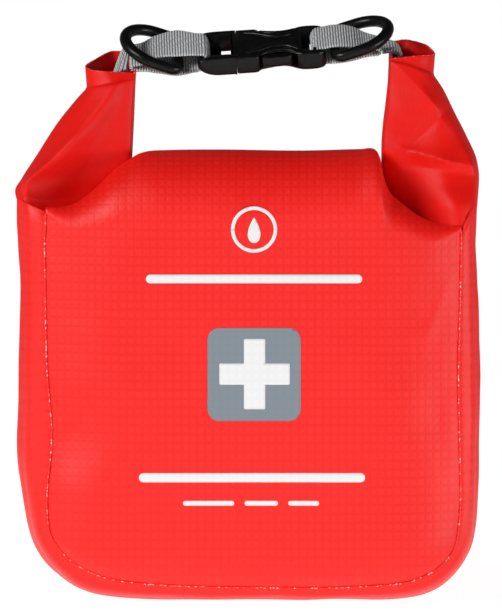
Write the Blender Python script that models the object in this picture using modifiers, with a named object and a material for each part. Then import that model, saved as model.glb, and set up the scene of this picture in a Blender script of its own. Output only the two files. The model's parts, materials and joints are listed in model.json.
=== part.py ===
"""Roll-top waterproof first aid kit: a red welded dry bag, its buckle handle and what it holds.

Lengths are in millimetres and become metres as each object is made. +X is to the right of someone
who looks at the front, which faces -Y, and the bag stands on the flat bottom of its gusset.
"""

import math

import bmesh
import bpy
from mathutils import Matrix, Vector

MM = 0.001

# Bag body: the outline of the front seam, and the gusset that bows out beyond it.
SEAM_LEFT = -79.4
SEAM_RIGHT = 83.0
SEAM_BOTTOM = 6.3
SEAM_RADIUS = 19.0
SEAM_DEPTH = 25.0
GUSSET_LEFT = 11.8
GUSSET_RIGHT = 8.2
FABRIC = 0.8
GAP = 0.3
PANEL_GAP = 0.6
PANEL_BULGE = 9.4
SWELL_HEIGHT = 34.0
TOP_START = 150.0
TOP_RISE = 26.5
FRONT_SHARE = 0.6
SEAM_SHARE = 0.3
GUSSET_SIDE_SHARE = 0.32
GUSSET_CORNER_SHARE = 0.42

# Shoulders: the sloping lines where the front and back panels turn into the folded ears.
SHOULDER = {
    "left": {"outer": (-91.2, 158.0), "inner": (-45.9, 173.5), "crown": -44.8},
    "right": {"outer": (91.2, 164.0), "inner": (52.6, 175.0), "crown": 51.6},
}
SHOULDER_GAP = 0.5

# Ears: each ring is (outer x, inner x, front y, back y, outer z, inner z, rise per mm of depth).
EAR_RINGS = {
    "left": [
        (-91.0, -45.9, -24.0, 25.0, 160.0, 175.5, 0.0),
        (-86.5, -46.2, -19.0, 23.0, 172.5, 181.0, 0.0),
        (-76.0, -45.6, -13.0, 21.0, 187.5, 190.0, 0.1),
        (-65.5, -44.8, -8.5, 21.0, 201.0, 200.0, 0.25),
        (-64.0, -44.3, -6.5, 21.0, 209.0, 209.2, 0.42),
    ],
    "right": [
        (91.0, 52.6, -24.0, 25.0, 166.0, 177.0, 0.0),
        (89.0, 52.6, -19.0, 23.0, 177.0, 184.5, 0.0),
        (83.0, 53.2, -13.0, 21.0, 193.0, 195.0, 0.1),
        (75.5, 54.2, -8.5, 21.0, 207.0, 207.0, 0.25),
        (73.5, 55.0, -6.5, 21.0, 215.6, 216.2, 0.36),
    ],
}
EAR_SQUARENESS = 2.6

# Rolled mouth: a flattened spiral of fabric round a stiffening strip.
ROLL_CENTRE = (17.0, 167.0)
ROLL_SPAN = (-42.0, 48.5)
ROLL_TURNS = 2.25
ROLL_START = 1.4
ROLL_PITCH = 1.3
ROLL_FLAT = 6.0
ROLL_END_FLAT = 5.0
ROLL_END = {"left": (-54.5, 9.0, 182.0, 199.0), "right": (65.0, 9.0, 189.0, 206.0)}
STRIP_WIDTH = 8.0
STRIP_THICKNESS = 0.9

# Handle: its own frame runs along the strap from ear to ear and leans towards the front.
HANDLE_Y = 6.0
HANDLE_Z = 215.9
HANDLE_SLOPE = math.radians(3.8)
HANDLE_LEAN = math.radians(24.0)
WEBBING_WIDTH = 20.0
WEBBING = 1.3
BAR_RADIUS = 1.7
RING_WIRE = 2.3
RING_WIDTH = 30.5
RING_LENGTH = 26.5
RING_CORNER = 4.0
RING_BAR = {"left": -28.0, "right": 34.3}
RING_RAISE = {"left": math.radians(20.0), "right": math.radians(15.0)}
BUCKLE_BAR = {"left": -18.5, "right": 27.9}
SEW_END = {"left": -45.6, "right": 50.8}
TAIL_TURN = {"left": -52.5, "right": 60.0}
TAIL_DROP = 9.0

# Ear hinges and the points where the strap leaves the ears.
EAR_PIVOT = {"left": (-56.0, HANDLE_Y, 172.6), "right": (65.0, HANDLE_Y, 179.6)}
STRAP_EXIT = {"left": -50.0, "right": 55.0}

# Side-release buckle, in the handle's frame.
BUCKLE_HALF_WIDTH = 13.2
BUCKLE_HALF_THICKNESS = 4.3
MALE_OUTER = -20.3
MALE_FACE = -5.2
FEMALE_MOUTH = -4.9
FEMALE_WINDOW = (4.1, 19.2)
FEMALE_END = 30.5
CAVITY_HALF_WIDTH = 10.6
CAVITY_HALF_HEIGHT = 2.8
SLOT_HALF_WIDTH = 10.8
MALE_SLOT = -7.4
FEMALE_SLOT = 21.0
TONGUE = (19.0, 3.0, 1.5)
ARM_HALF_HEIGHT = 2.2
ARM_ROOT_Y = 6.4

COLOURS = {
    "tarpaulin": ((0.75, 0.018, 0.012), 0.42, 0.0),
    "stiffener": ((0.02, 0.02, 0.02), 0.6, 0.0),
    "webbing": ((0.29, 0.29, 0.30), 0.85, 0.0),
    "black_acetal": ((0.012, 0.012, 0.012), 0.45, 0.0),
    "crepe": ((0.82, 0.74, 0.62), 0.95, 0.0),
    "tape": ((0.85, 0.84, 0.80), 0.7, 0.0),
    "card": ((0.55, 0.42, 0.28), 0.9, 0.0),
    "packet_white": ((0.86, 0.87, 0.88), 0.55, 0.0),
    "packet_green": ((0.10, 0.36, 0.22), 0.5, 0.0),
    "packet_blue": ((0.12, 0.28, 0.52), 0.45, 0.0),
    "foil": ((0.75, 0.75, 0.77), 0.25, 1.0),
    "leaflet": ((0.88, 0.88, 0.84), 0.8, 0.0),
    "steel": ((0.62, 0.62, 0.63), 0.3, 1.0),
}


def clear_scene():
    for obj in list(bpy.data.objects):
        bpy.data.objects.remove(obj)


def make_collection(name):
    collection = bpy.data.collections.new(name)
    bpy.context.scene.collection.children.link(collection)
    return collection


def make_material(name):
    colour, roughness, metallic = COLOURS[name]
    material = bpy.data.materials.new(name)
    material.use_nodes = True
    shader = material.node_tree.nodes["Principled BSDF"]
    shader.inputs["Base Color"].default_value = (*colour, 1.0)
    shader.inputs["Roughness"].default_value = roughness
    shader.inputs["Metallic"].default_value = metallic
    return material


clear_scene()
PARTS = make_collection("first_aid_kit")
CUTTERS = make_collection("cutters")
MATERIALS = {name: make_material(name) for name in COLOURS}


def add_object(name, bm, material, smooth=True):
    """Make an object, in metres, of a mesh drawn in millimetres."""
    bmesh.ops.scale(bm, vec=(MM, MM, MM), verts=bm.verts)
    bmesh.ops.recalc_face_normals(bm, faces=bm.faces)
    mesh = bpy.data.meshes.new(name)
    bm.to_mesh(mesh)
    bm.free()
    mesh.polygons.foreach_set("use_smooth", [smooth] * len(mesh.polygons))
    obj = bpy.data.objects.new(name, mesh)
    PARTS.objects.link(obj)
    obj.data.materials.append(MATERIALS[material])
    return obj


def add_cutter(name, bm):
    obj = add_object(name, bm, "steel", smooth=False)
    PARTS.objects.unlink(obj)
    CUTTERS.objects.link(obj)
    obj.hide_render = True
    obj.display_type = "WIRE"
    return obj


def cut(obj, cutter, operation="DIFFERENCE"):
    boolean = obj.modifiers.new(cutter.name, "BOOLEAN")
    boolean.operation = operation
    boolean.solver = "EXACT"
    boolean.object = cutter


def box_mesh(low, high):
    bm = bmesh.new()
    low = Vector(low)
    high = Vector(high)
    bmesh.ops.create_cube(bm, size=1.0)
    bmesh.ops.scale(bm, vec=high - low, verts=bm.verts)
    bmesh.ops.translate(bm, vec=(low + high) / 2, verts=bm.verts)
    return bm


def rod_mesh(centre, radius, length, axis, segments=16, far_radius=None):
    """A solid cylinder or cone frustum of the given length, centred, along a unit axis."""
    bm = bmesh.new()
    far_radius = radius if far_radius is None else far_radius
    bmesh.ops.create_cone(
        bm, cap_ends=True, segments=segments, radius1=radius, radius2=far_radius, depth=length
    )
    turn = Vector((0, 0, 1)).rotation_difference(Vector(axis)).to_matrix()
    bmesh.ops.rotate(bm, cent=(0, 0, 0), matrix=turn, verts=bm.verts)
    bmesh.ops.translate(bm, vec=centre, verts=bm.verts)
    return bm


def sheet_mesh(columns, rows, place, around=False):
    """A grid of faces whose points place(u, v) puts in space, with u and v from 0 to 1."""
    bm = bmesh.new()
    bmesh.ops.create_grid(bm, x_segments=columns, y_segments=rows, size=0.5)
    for vert in bm.verts:
        vert.co = place(vert.co.x + 0.5, vert.co.y + 0.5)
    if around:
        bmesh.ops.remove_doubles(bm, verts=bm.verts, dist=1e-4)
    return bm


def thicken(obj, thickness, offset):
    solidify = obj.modifiers.new("thickness", "SOLIDIFY")
    solidify.thickness = thickness * MM
    solidify.offset = offset
    solidify.use_even_offset = False


def soften(obj, width, segments=2):
    bevel = obj.modifiers.new("rounded_edges", "BEVEL")
    bevel.width = width * MM
    bevel.segments = segments
    bevel.limit_method = "ANGLE"
    bevel.angle_limit = math.radians(40)
    bevel.use_clamp_overlap = True


def mix(a, b, t):
    return a + (b - a) * t


def clamp(t):
    return min(1.0, max(0.0, t))


def smooth_path(points, steps):
    """Points on a Catmull-Rom curve through the given ones, which it reaches."""
    knots = [Vector(p) for p in points]
    knots = [2 * knots[0] - knots[1], *knots, 2 * knots[-1] - knots[-2]]
    path = []
    for a, b, c, d in zip(knots, knots[1:], knots[2:], knots[3:]):
        for k in range(steps):
            t = k / steps
            path.append(
                0.5 * (2 * b + (c - a) * t + (2 * a - 5 * b + 4 * c - d) * t**2
                       + (3 * b - a - 3 * c + d) * t**3)
            )
    return path + [knots[-2]]


def plate_mesh(outline, low, high):
    """A flat plate: a closed outline in X and Y, pushed from z=low to z=high."""
    bm = bmesh.new()
    face = bm.faces.new([bm.verts.new((x, y, low)) for x, y in outline])
    pushed = bmesh.ops.extrude_face_region(bm, geom=[face])["geom"]
    top = [v for v in pushed if isinstance(v, bmesh.types.BMVert)]
    bmesh.ops.translate(bm, vec=(0, 0, high - low), verts=top)
    return bm


# ---------------------------------------------------------------- bag body


def shoulder_height(side, x):
    (x0, z0), (x1, z1) = SHOULDER[side]["outer"], SHOULDER[side]["inner"]
    return mix(z0, z1, clamp((x - x0) / (x1 - x0)))


def seam_limit(side, z):
    """Where the seam runs at a height: straight sides, and a round lower corner."""
    edge, sign = (SEAM_LEFT, 1) if side == "left" else (SEAM_RIGHT, -1)
    drop = SEAM_BOTTOM + SEAM_RADIUS - z
    if drop <= 0:
        return edge
    return edge + sign * (SEAM_RADIUS - math.sqrt(max(0.0, SEAM_RADIUS**2 - drop**2)))


def panel_edge(side, turn):
    """The panel's edge point (x, z) over the top: up the seam, then along the shoulder line."""
    seam = SEAM_LEFT if side == "left" else SEAM_RIGHT
    if turn < SEAM_SHARE:
        top = shoulder_height(side, seam) - SHOULDER_GAP
        return seam, mix(TOP_START, top, turn / SEAM_SHARE)
    x = mix(seam, SHOULDER[side]["crown"], clamp((turn - SEAM_SHARE) / (1 - SEAM_SHARE)))
    return x, shoulder_height(side, x) - SHOULDER_GAP


def puff(u):
    """How far a panel stands proud of its seam, from 0 at its sides to 1 in its middle."""
    return math.sqrt(1 - abs(2 * u - 1) ** 3)


def panel_point(facing, top_angle, top_centre, u, v):
    """A point on the front (facing -1) or back (facing 1) panel, v rising from the lower seam."""
    seam_y = SEAM_DEPTH + PANEL_GAP
    side = "left" if u < 0.5 else "right"
    if v <= FRONT_SHARE:
        t = v / FRONT_SHARE
        z = SEAM_BOTTOM + (TOP_START - SEAM_BOTTOM) * t**1.6
        x = mix(seam_limit("left", z), seam_limit("right", z), u)
        rise = math.sqrt(1 - (1 - clamp((z - SEAM_BOTTOM) / SWELL_HEIGHT)) ** 2)
        return Vector((x, facing * (seam_y + PANEL_BULGE * puff(u) * rise), z))
    t = (v - FRONT_SHARE) / (1 - FRONT_SHARE)
    angle = top_angle * t
    turn = clamp(angle / min(top_angle, math.pi / 2))
    left, right = panel_edge("left", turn), panel_edge("right", turn)
    edge_z = (left if side == "left" else right)[1]
    reach = seam_y + PANEL_BULGE - top_centre
    edge_reach = seam_y - top_centre
    mid = (top_centre + reach * math.cos(angle), TOP_START + TOP_RISE * math.sin(angle))
    edge = (top_centre + edge_reach * math.cos(angle), edge_z)
    y = mix(edge[0], mid[0], puff(u))
    z = mix(edge[1], max(edge[1], mid[1]), puff(u))
    return Vector((mix(left[0], right[0], u), facing * y, z))


def make_front_panel():
    def place(u, v):
        return panel_point(-1, math.radians(120), 8.0, u, v)

    panel = add_object("front_panel", sheet_mesh(18, 20, place), "tarpaulin")
    thicken(panel, FABRIC, -1)
    return panel


def make_back_panel():
    def place(u, v):
        return panel_point(1, math.radians(38), 13.0, 1 - u, v)

    panel = add_object("back_panel", sheet_mesh(16, 16, place), "tarpaulin")
    thicken(panel, FABRIC, -1)
    return panel


def gusset_point(u, v):
    """A point on the band round the sides and bottom; u runs down the left side and up the right."""
    across = math.sin((v - 0.5) * math.pi)
    bow = min(1.0, 1.3 * math.cos((v - 0.5) * math.pi))
    y = SEAM_DEPTH * across
    side = "left" if u < 0.5 else "right"
    sign = -1 if side == "left" else 1
    seam = SEAM_LEFT if side == "left" else SEAM_RIGHT
    width = GUSSET_LEFT if side == "left" else GUSSET_RIGHT
    s = min(u, 1 - u)
    arc_z = SEAM_BOTTOM + SEAM_RADIUS
    arc_x = seam - sign * SEAM_RADIUS
    if s < GUSSET_SIDE_SHARE:
        x = seam + sign * width * bow
        top = shoulder_height(side, x) - SHOULDER_GAP
        return Vector((x, y, mix(top, arc_z, s / GUSSET_SIDE_SHARE)))
    if s < GUSSET_CORNER_SHARE:
        turned = (s - GUSSET_SIDE_SHARE) / (GUSSET_CORNER_SHARE - GUSSET_SIDE_SHARE)
        angle = math.pi / 2 * turned
        reach = SEAM_RADIUS + bow * mix(width, SEAM_BOTTOM, math.sin(angle))
        return Vector((arc_x + sign * reach * math.cos(angle), y, arc_z - reach * math.sin(angle)))
    middle = (SEAM_LEFT + SEAM_RIGHT) / 2
    x = mix(arc_x, middle, (s - GUSSET_CORNER_SHARE) / (0.5 - GUSSET_CORNER_SHARE))
    return Vector((x, y, SEAM_BOTTOM * (1 - bow)))


def make_gusset():
    gusset = add_object("gusset", sheet_mesh(40, 10, gusset_point), "tarpaulin")
    thicken(gusset, FABRIC, -1)
    return gusset


# ---------------------------------------------------------------- ears and rolled mouth


def ear_point(side, u, v):
    """A point on an ear: u runs round it and v from its base to its open tip."""
    rings = EAR_RINGS[side]
    at = v * (len(rings) - 1)
    k = min(int(at), len(rings) - 2)
    outer, inner, front, back, outer_z, inner_z, rise = (
        mix(a, b, at - k) for a, b in zip(rings[k], rings[k + 1])
    )
    angle = 2 * math.pi * u
    power = 2 / EAR_SQUARENESS
    across = math.copysign(abs(math.cos(angle)) ** power, math.cos(angle))
    deep = math.copysign(abs(math.sin(angle)) ** power, math.sin(angle))
    x = mix(outer, inner, (1 + across) / 2)
    y = mix(front, back, (1 + deep) / 2)
    z = mix(outer_z, inner_z, (1 + across) / 2) + rise * (y - HANDLE_Y)
    return Vector((x, y, z))


def make_ear(side):
    def place(u, v):
        return ear_point(side, u, v)

    ear = add_object(f"{side}_ear", sheet_mesh(24, 8, place, around=True), "tarpaulin")
    thicken(ear, FABRIC, -1)
    return ear


def spiral_section(flat, turns, steps=14):
    """Points of a flattened spiral, from its core outwards."""
    points = []
    for k in range(int(turns * steps) + 1):
        angle = 2 * math.pi * k / steps
        grow = ROLL_START + ROLL_PITCH * k / steps
        points.append(((flat + grow) * math.cos(angle), (0.4 + grow) * math.sin(angle)))
    return points


def make_roll(name, flat, turns, place, length):
    """A rolled length of fabric: place(a, b, t) puts section point (a, b) at t along the roll."""
    section = spiral_section(flat, turns)

    def point(u, v):
        a, b = section[round(u * (len(section) - 1))]
        return place(a, b, v * length)

    roll = add_object(name, sheet_mesh(len(section) - 1, 1, point), "tarpaulin")
    thicken(roll, FABRIC, 0)
    return roll


def make_rolled_mouth():
    start, end = ROLL_SPAN

    def along_x(a, b, t):
        return Vector((start + t, ROLL_CENTRE[0] + a, ROLL_CENTRE[1] + b))

    make_roll("rolled_mouth", ROLL_FLAT, ROLL_TURNS, along_x, end - start)
    half_width, half_thick = STRIP_WIDTH / 2, STRIP_THICKNESS / 2
    y, z = ROLL_CENTRE
    strip = box_mesh(
        (start + 1, y - half_width, z - half_thick), (end - 1, y + half_width, z + half_thick)
    )
    add_object("rim_strip_middle", strip, "stiffener", smooth=False)


def make_roll_end(side):
    x, y, low, high = ROLL_END[side]

    def upright(a, b, t):
        return Vector((x + b, y + a, low + t))

    roll = make_roll(f"{side}_roll_end", ROLL_END_FLAT, 1.5, upright, high - low)
    half_width, half_thick = STRIP_WIDTH / 2, STRIP_THICKNESS / 2
    strip = box_mesh(
        (x - half_thick, y - half_width, low + 1), (x + half_thick, y + half_width, high + 1)
    )
    return roll, add_object(f"{side}_rim_strip_end", strip, "stiffener", smooth=False)


# ---------------------------------------------------------------- handle

HANDLE = (
    Matrix.Translation(Vector((0, HANDLE_Y, HANDLE_Z)) * MM)
    @ Matrix.Rotation(-HANDLE_SLOPE, 4, "Y")
    @ Matrix.Rotation(HANDLE_LEAN, 4, "X")
)


def in_handle(x, y, z):
    """World position, in metres, of a point given in the handle's frame."""
    return HANDLE @ (Vector((x, y, z)) * MM)


def ring_path(side):
    """Centre line of a D-ring lying in the handle's plane, with its bar on the Y axis."""
    sign = -1 if side == "left" else 1
    half = RING_WIDTH / 2 - RING_WIRE
    reach = RING_LENGTH - 2 * RING_WIRE
    leg = reach - half
    path = []
    for k in range(17):
        angle = math.pi * (k / 16 - 0.5)
        path.append((sign * (leg + half * math.cos(angle)), half * math.sin(angle)))
    for centre_y, start in ((half - RING_CORNER, 0.5), (RING_CORNER - half, 1.0)):
        for k in range(5):
            angle = math.pi * (start + k / 8)
            x = RING_CORNER + RING_CORNER * math.cos(angle)
            path.append((sign * x, centre_y + RING_CORNER * math.sin(angle)))
    return path


def make_d_ring(side):
    curve = bpy.data.curves.new(f"{side}_d_ring_wire", "CURVE")
    curve.dimensions = "3D"
    curve.bevel_depth = RING_WIRE * MM
    curve.bevel_resolution = 2
    path = ring_path(side)
    spline = curve.splines.new("POLY")
    spline.points.add(len(path) - 1)
    for point, (x, y) in zip(spline.points, path):
        point.co = (x * MM, y * MM, 0, 1)
    spline.use_cyclic_u = True
    wire = bpy.data.objects.new(f"{side}_d_ring_wire", curve)
    PARTS.objects.link(wire)
    evaluated = wire.evaluated_get(bpy.context.evaluated_depsgraph_get())
    mesh = bpy.data.meshes.new_from_object(evaluated)
    bpy.data.objects.remove(wire)
    mesh.name = f"{side}_d_ring"
    mesh.polygons.foreach_set("use_smooth", [True] * len(mesh.polygons))
    mesh.materials.clear()
    mesh.materials.append(MATERIALS["black_acetal"])
    ring = bpy.data.objects.new(f"{side}_d_ring", mesh)
    PARTS.objects.link(ring)
    raise_by = RING_RAISE[side] if side == "left" else -RING_RAISE[side]
    bar = Matrix.Translation(Vector((RING_BAR[side], 0, 0)) * MM)
    ring.matrix_world = HANDLE @ bar @ Matrix.Rotation(raise_by, 4, "Y")
    return ring


def loop_path(side):
    """Centre line, in X and Z, of the webbing loop: sewn end, D-ring bar, then the buckle bar."""
    sign = 1 if side == "left" else -1
    over_ring = RING_WIRE + GAP + WEBBING / 2
    over_bar = BAR_RADIUS + GAP + WEBBING / 2
    sew, ring, bar = SEW_END[side], RING_BAR[side], BUCKLE_BAR[side]
    top = [
        (sew, 1.15),
        (sew + sign * 5.0, 1.5),
        (mix(sew, ring, 0.55), 2.5),
        (ring - sign * 2.0, over_ring),
        (ring + sign * 2.0, over_ring),
        (bar, over_bar),
    ]
    upper = [(p.x, p.y) for p in smooth_path(top, 2)]
    turn = []
    for k in range(1, 8):
        angle = math.pi * (0.5 - k / 8)
        turn.append((bar + sign * over_bar * math.cos(angle), over_bar * math.sin(angle)))
    sewn = [(sew - sign * 0.8, -0.7), (sew - sign * 0.8, 0.7)]
    return upper + turn + [(x, -z) for x, z in reversed(upper)] + sewn


def make_webbing_loop(side):
    path = loop_path(side)
    half = WEBBING_WIDTH / 2

    def place(u, v):
        x, z = path[round(u * len(path)) % len(path)]
        return Vector((x, mix(-half, half, v), z))

    bm = sheet_mesh(len(path), 1, place, around=True)
    loop = add_object(f"{side}_webbing_loop", bm, "webbing")
    thicken(loop, WEBBING, 0)
    loop.matrix_world = HANDLE
    return loop


def make_strap_tail(side):
    """The sewn-down end of the webbing, from inside the ear's tip to the loop."""
    sign = 1 if side == "left" else -1
    turn, sew = TAIL_TURN[side], SEW_END[side]
    half = WEBBING_WIDTH / 2
    start = sew - sign * (0.8 + WEBBING / 2 + GAP)
    path = smooth_path(
        [(turn, -TAIL_DROP), (turn, -5.0), (turn + sign * 1.2, -1.5), (turn + sign * 3.4, 0), (start, 0)],
        3,
    )

    def place(u, v):
        point = path[round(u * (len(path) - 1))]
        return Vector((point.x, mix(-half, half, v), point.y))

    tail = add_object(f"{side}_strap_tail", sheet_mesh(len(path) - 1, 1, place), "webbing")
    thicken(tail, WEBBING, 0)
    tail.matrix_world = HANDLE
    return tail


def buckle_block(name, outline, slot_from, slot_to, bar_x):
    """A buckle half: an outline given for its far side, slotted for the webbing round a bar."""
    mirrored = [(x, -y) for x, y in reversed(outline)]
    bm = plate_mesh(outline + mirrored, -BUCKLE_HALF_THICKNESS, BUCKLE_HALF_THICKNESS)
    block = add_object(name, bm, "black_acetal", smooth=False)
    soften(block, 1.6, 3)
    tall = BUCKLE_HALF_THICKNESS + 2
    slot = box_mesh((slot_from, -SLOT_HALF_WIDTH, -tall), (slot_to, SLOT_HALF_WIDTH, tall))
    cut(block, add_cutter(f"{name}_slot", slot))
    bar = rod_mesh((bar_x, 0, 0), BAR_RADIUS, 2 * SLOT_HALF_WIDTH + 2, (0, 1, 0))
    cut(block, add_cutter(f"{name}_bar", bar), "UNION")
    return block


def place_in_handle(*objects):
    for obj in objects:
        obj.matrix_world = HANDLE


def make_buckle_male():
    wide = BUCKLE_HALF_WIDTH
    outline = [
        (MALE_OUTER, wide - 2.2),
        (MALE_OUTER + 2.2, wide - 0.3),
        (MALE_FACE, wide),
    ]
    male = buckle_block(
        "buckle_male", outline, MALE_OUTER - 2, MALE_SLOT, BUCKLE_BAR["left"]
    )
    length, half_width, half_height = TONGUE
    tongue = box_mesh(
        (MALE_FACE - 1, -half_width, -half_height), (MALE_FACE + length, half_width, half_height)
    )
    cut(male, add_cutter("buckle_male_tongue", tongue), "UNION")
    place_in_handle(male, bpy.data.objects["buckle_male_slot"])
    place_in_handle(bpy.data.objects["buckle_male_bar"], bpy.data.objects["buckle_male_tongue"])
    return male


def make_buckle_female():
    wide = BUCKLE_HALF_WIDTH
    start, end = FEMALE_WINDOW
    waist = 8.6
    outline = [
        (FEMALE_MOUTH, wide),
        (start, wide),
        (start + 0.8, wide - 2.0),
        (mix(start, end, 0.35), waist + 0.6),
        (mix(start, end, 0.55), waist),
        (mix(start, end, 0.75), waist + 0.8),
        (end - 1.0, wide - 2.4),
        (end + 1.2, wide),
        (FEMALE_END - 3.4, wide),
        (FEMALE_END - 0.9, wide - 1.4),
        (FEMALE_END, wide - 3.6),
    ]
    female = buckle_block(
        "buckle_female", outline, FEMALE_SLOT, FEMALE_END + 2, BUCKLE_BAR["right"]
    )
    high = CAVITY_HALF_HEIGHT
    wide = CAVITY_HALF_WIDTH
    cavity = box_mesh((FEMALE_MOUTH - 2, -wide, -high), (end, wide, high))
    window = box_mesh((start, -wide - 5, -high), (end, wide + 5, high))
    cut(female, add_cutter("buckle_female_cavity", cavity))
    cut(female, add_cutter("buckle_female_window", window))
    for name in ("slot", "bar", "cavity", "window"):
        place_in_handle(bpy.data.objects[f"buckle_female_{name}"])
    place_in_handle(female)
    return female


def make_latch_arm(name, sign):
    """A springy arm with its thumb button, on the front (-1) or back (1) side of the buckle."""
    root = MALE_FACE + GAP
    outline = [
        (root, ARM_ROOT_Y - 1.3),
        (root, ARM_ROOT_Y + 1.3),
        (3.8, ARM_ROOT_Y + 2.4),
        (4.9, 11.8),
        (8.0, 12.7),
        (14.0, 12.5),
        (17.6, 10.6),
        (18.4, 8.0),
        (16.0, 8.6),
        (8.0, 9.0),
        (3.0, ARM_ROOT_Y - 0.3),
    ]
    shifted = [(x - root, sign * (y - ARM_ROOT_Y)) for x, y in outline]
    bm = plate_mesh(shifted, -ARM_HALF_HEIGHT, ARM_HALF_HEIGHT)
    arm = add_object(name, bm, "black_acetal", smooth=False)
    soften(arm, 0.5, 2)
    arm.matrix_world = HANDLE @ Matrix.Translation(Vector((root, sign * ARM_ROOT_Y, 0)) * MM)
    return arm


# ---------------------------------------------------------------- contents


def make_packet(name, centre, size, material, radius=2.5):
    """A soft sealed packet or a box: centre and size along X, Y and Z."""
    centre, half = Vector(centre), Vector(size) / 2
    packet = add_object(name, box_mesh(-half, half), material)
    packet.location = centre * MM
    soften(packet, radius, 2)
    return packet


def make_reel(name, centre, outer, inner, length, axis, material, segments=24):
    """A wound roll: a turned ring of the given radii about an axis."""
    bm = bmesh.new()
    half = length / 2
    profile = [(inner, -half), (outer, -half), (outer, half), (inner, half)]
    verts = [bm.verts.new((r, 0, z)) for r, z in profile]
    for a, b in zip(verts, verts[1:] + verts[:1]):
        bm.edges.new((a, b))
    reel = add_object(name, bm, material, smooth=False)
    screw = reel.modifiers.new("turned", "SCREW")
    screw.axis = "Z"
    screw.steps = segments
    screw.render_steps = segments
    screw.use_merge_vertices = True
    screw.merge_threshold = 0.00001
    screw.use_smooth_shade = False
    screw.use_normal_flip = True
    soften(reel, 0.8, 1)
    turn = Vector((0, 0, 1)).rotation_difference(Vector(axis)).to_matrix().to_4x4()
    reel.matrix_world = Matrix.Translation(Vector(centre) * MM) @ turn
    return reel


def make_contents():
    make_reel("crepe_bandage_left", (-36, 0, 28), 17.5, 3.0, 60, (1, 0, 0), "crepe")
    make_reel("crepe_bandage_right", (38, 0, 28), 17.5, 3.0, 60, (1, 0, 0), "crepe")
    make_reel("tape_roll", (-44, -1, 75), 24.0, 17.0, 25, (0, 1, 0), "tape", 28)
    make_reel("tape_core", (-44, -1, 75), 16.6, 15.4, 25, (0, 1, 0), "card", 28)
    make_packet("triangular_bandage", (24, 0, 62), (84, 34, 26), "packet_white", 4)
    make_packet("large_dressing", (24, 0, 89), (80, 32, 24), "packet_green", 4)
    make_packet("medium_dressing", (-42, 0, 113), (56, 30, 22), "packet_green", 4)
    make_packet("plaster_box", (22, -8, 123), (70, 14, 40), "packet_white", 1)
    make_packet("foil_blanket", (22, 8, 123), (66, 14, 38), "foil", 3)
    make_packet("glove_packet", (-42, -7, 137), (54, 12, 22), "packet_blue", 2)
    make_packet("wipes_packet", (-42, 7, 137), (50, 10, 20), "packet_white", 1)
    make_packet("first_aid_guide", (0, -23, 84), (92, 1.6, 128), "leaflet", 0.4)
    make_packet("face_shield_packet", (0, -26.4, 80), (80, 2.4, 80), "packet_blue", 0.6)
    make_packet("gauze_packet", (-46, 21.6, 74), (60, 3, 74), "packet_white", 0.8)
    make_packet("safety_pin_card", (34, 19.6, 60), (50, 1.2, 34), "card", 0.3)


SCISSOR_PIVOT = (-18.0, 26.5, 84.0)
BLADE = 1.2
RIVET = 1.5


def make_blade(name, sign, low):
    """One scissor blade with its finger ring; sign says which side the ring is on."""
    outline = [
        (-3.4 * sign, -2.0),
        (-2.6 * sign, 5.0),
        (2.0 * sign, 12.0),
        (6.0 * sign, 12.0),
        (4.6 * sign, 2.0),
        (4.0 * sign, -14.0),
        (0.6 * sign, -38.0),
        (0.2 * sign, -38.0),
        (-1.4 * sign, -14.0),
    ]
    bm = plate_mesh(outline, 0, BLADE)
    blade = add_object(name, bm, "steel", smooth=False)
    ring = make_grip_mesh(sign)
    cut(blade, add_cutter(f"{name}_grip", ring), "UNION")
    hole = rod_mesh((0, 0, BLADE / 2), RIVET + GAP, 6, (0, 0, 1))
    cut(blade, add_cutter(f"{name}_hole", hole))
    x, y, z = SCISSOR_PIVOT
    upright = Matrix.Rotation(math.radians(90), 4, "X")
    matrix = Matrix.Translation(Vector((x, y + low, z)) * MM) @ upright
    for obj in (blade, bpy.data.objects[f"{name}_grip"], bpy.data.objects[f"{name}_hole"]):
        obj.matrix_world = matrix
    return blade


def make_grip_mesh(sign):
    """The finger ring of a scissor blade: a flat oval ring."""
    bm = bmesh.new()
    steps = 20
    rings = [(8.4, 13.4), (5.4, 10.4)]
    loops = []
    for level in (0, BLADE):
        for wide, tall in rings:
            loop = []
            for k in range(steps):
                angle = 2 * math.pi * k / steps
                point = (9.6 * sign + wide * math.cos(angle), 23.0 + tall * math.sin(angle), level)
                loop.append(bm.verts.new(point))
            loops.append(loop)
    low_out, low_in, high_out, high_in = loops
    for a, b in ((low_out, low_in), (low_in, high_in), (high_in, high_out), (high_out, low_out)):
        for k in range(steps):
            n = (k + 1) % steps
            bm.faces.new((a[k], a[n], b[n], b[k]))
    return bm


def make_scissors():
    fixed = make_blade("scissor_blade_fixed", -1, 0)
    moving = make_blade("scissor_blade_moving", 1, BLADE + GAP)
    x, y, z = SCISSOR_PIVOT
    middle = y + GAP / 2
    rivet = add_object(
        "scissor_rivet", rod_mesh((0, 0, 0), RIVET, 2 * BLADE + GAP, (0, 1, 0)), "steel", smooth=False
    )
    rivet.location = Vector((x, middle, z)) * MM
    return fixed, moving


TWEEZER_TOP = (42.0, 26.0, 118.0)
TWEEZER_SPREAD = math.radians(4.5)


def make_tweezer_arm(name, sign):
    outline = [
        (0.15, 0.0),
        (1.2, 0.0),
        (1.5, -14.0),
        (3.4, -40.0),
        (1.6, -62.0),
        (0.9, -62.0),
        (2.4, -40.0),
        (0.5, -14.0),
    ]
    bm = plate_mesh([(sign * x, z) for x, z in outline], -3.0, 3.0)
    arm = add_object(name, bm, "steel", smooth=False)
    soften(arm, 0.25, 1)
    upright = Matrix.Rotation(math.radians(90), 4, "X")
    splay = Matrix.Rotation(-sign * TWEEZER_SPREAD, 4, "Y")
    x, y, z = TWEEZER_TOP
    arm.matrix_world = Matrix.Translation(Vector((x + sign * 0.3, y, z)) * MM) @ splay @ upright
    return arm


# ---------------------------------------------------------------- joints


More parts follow.
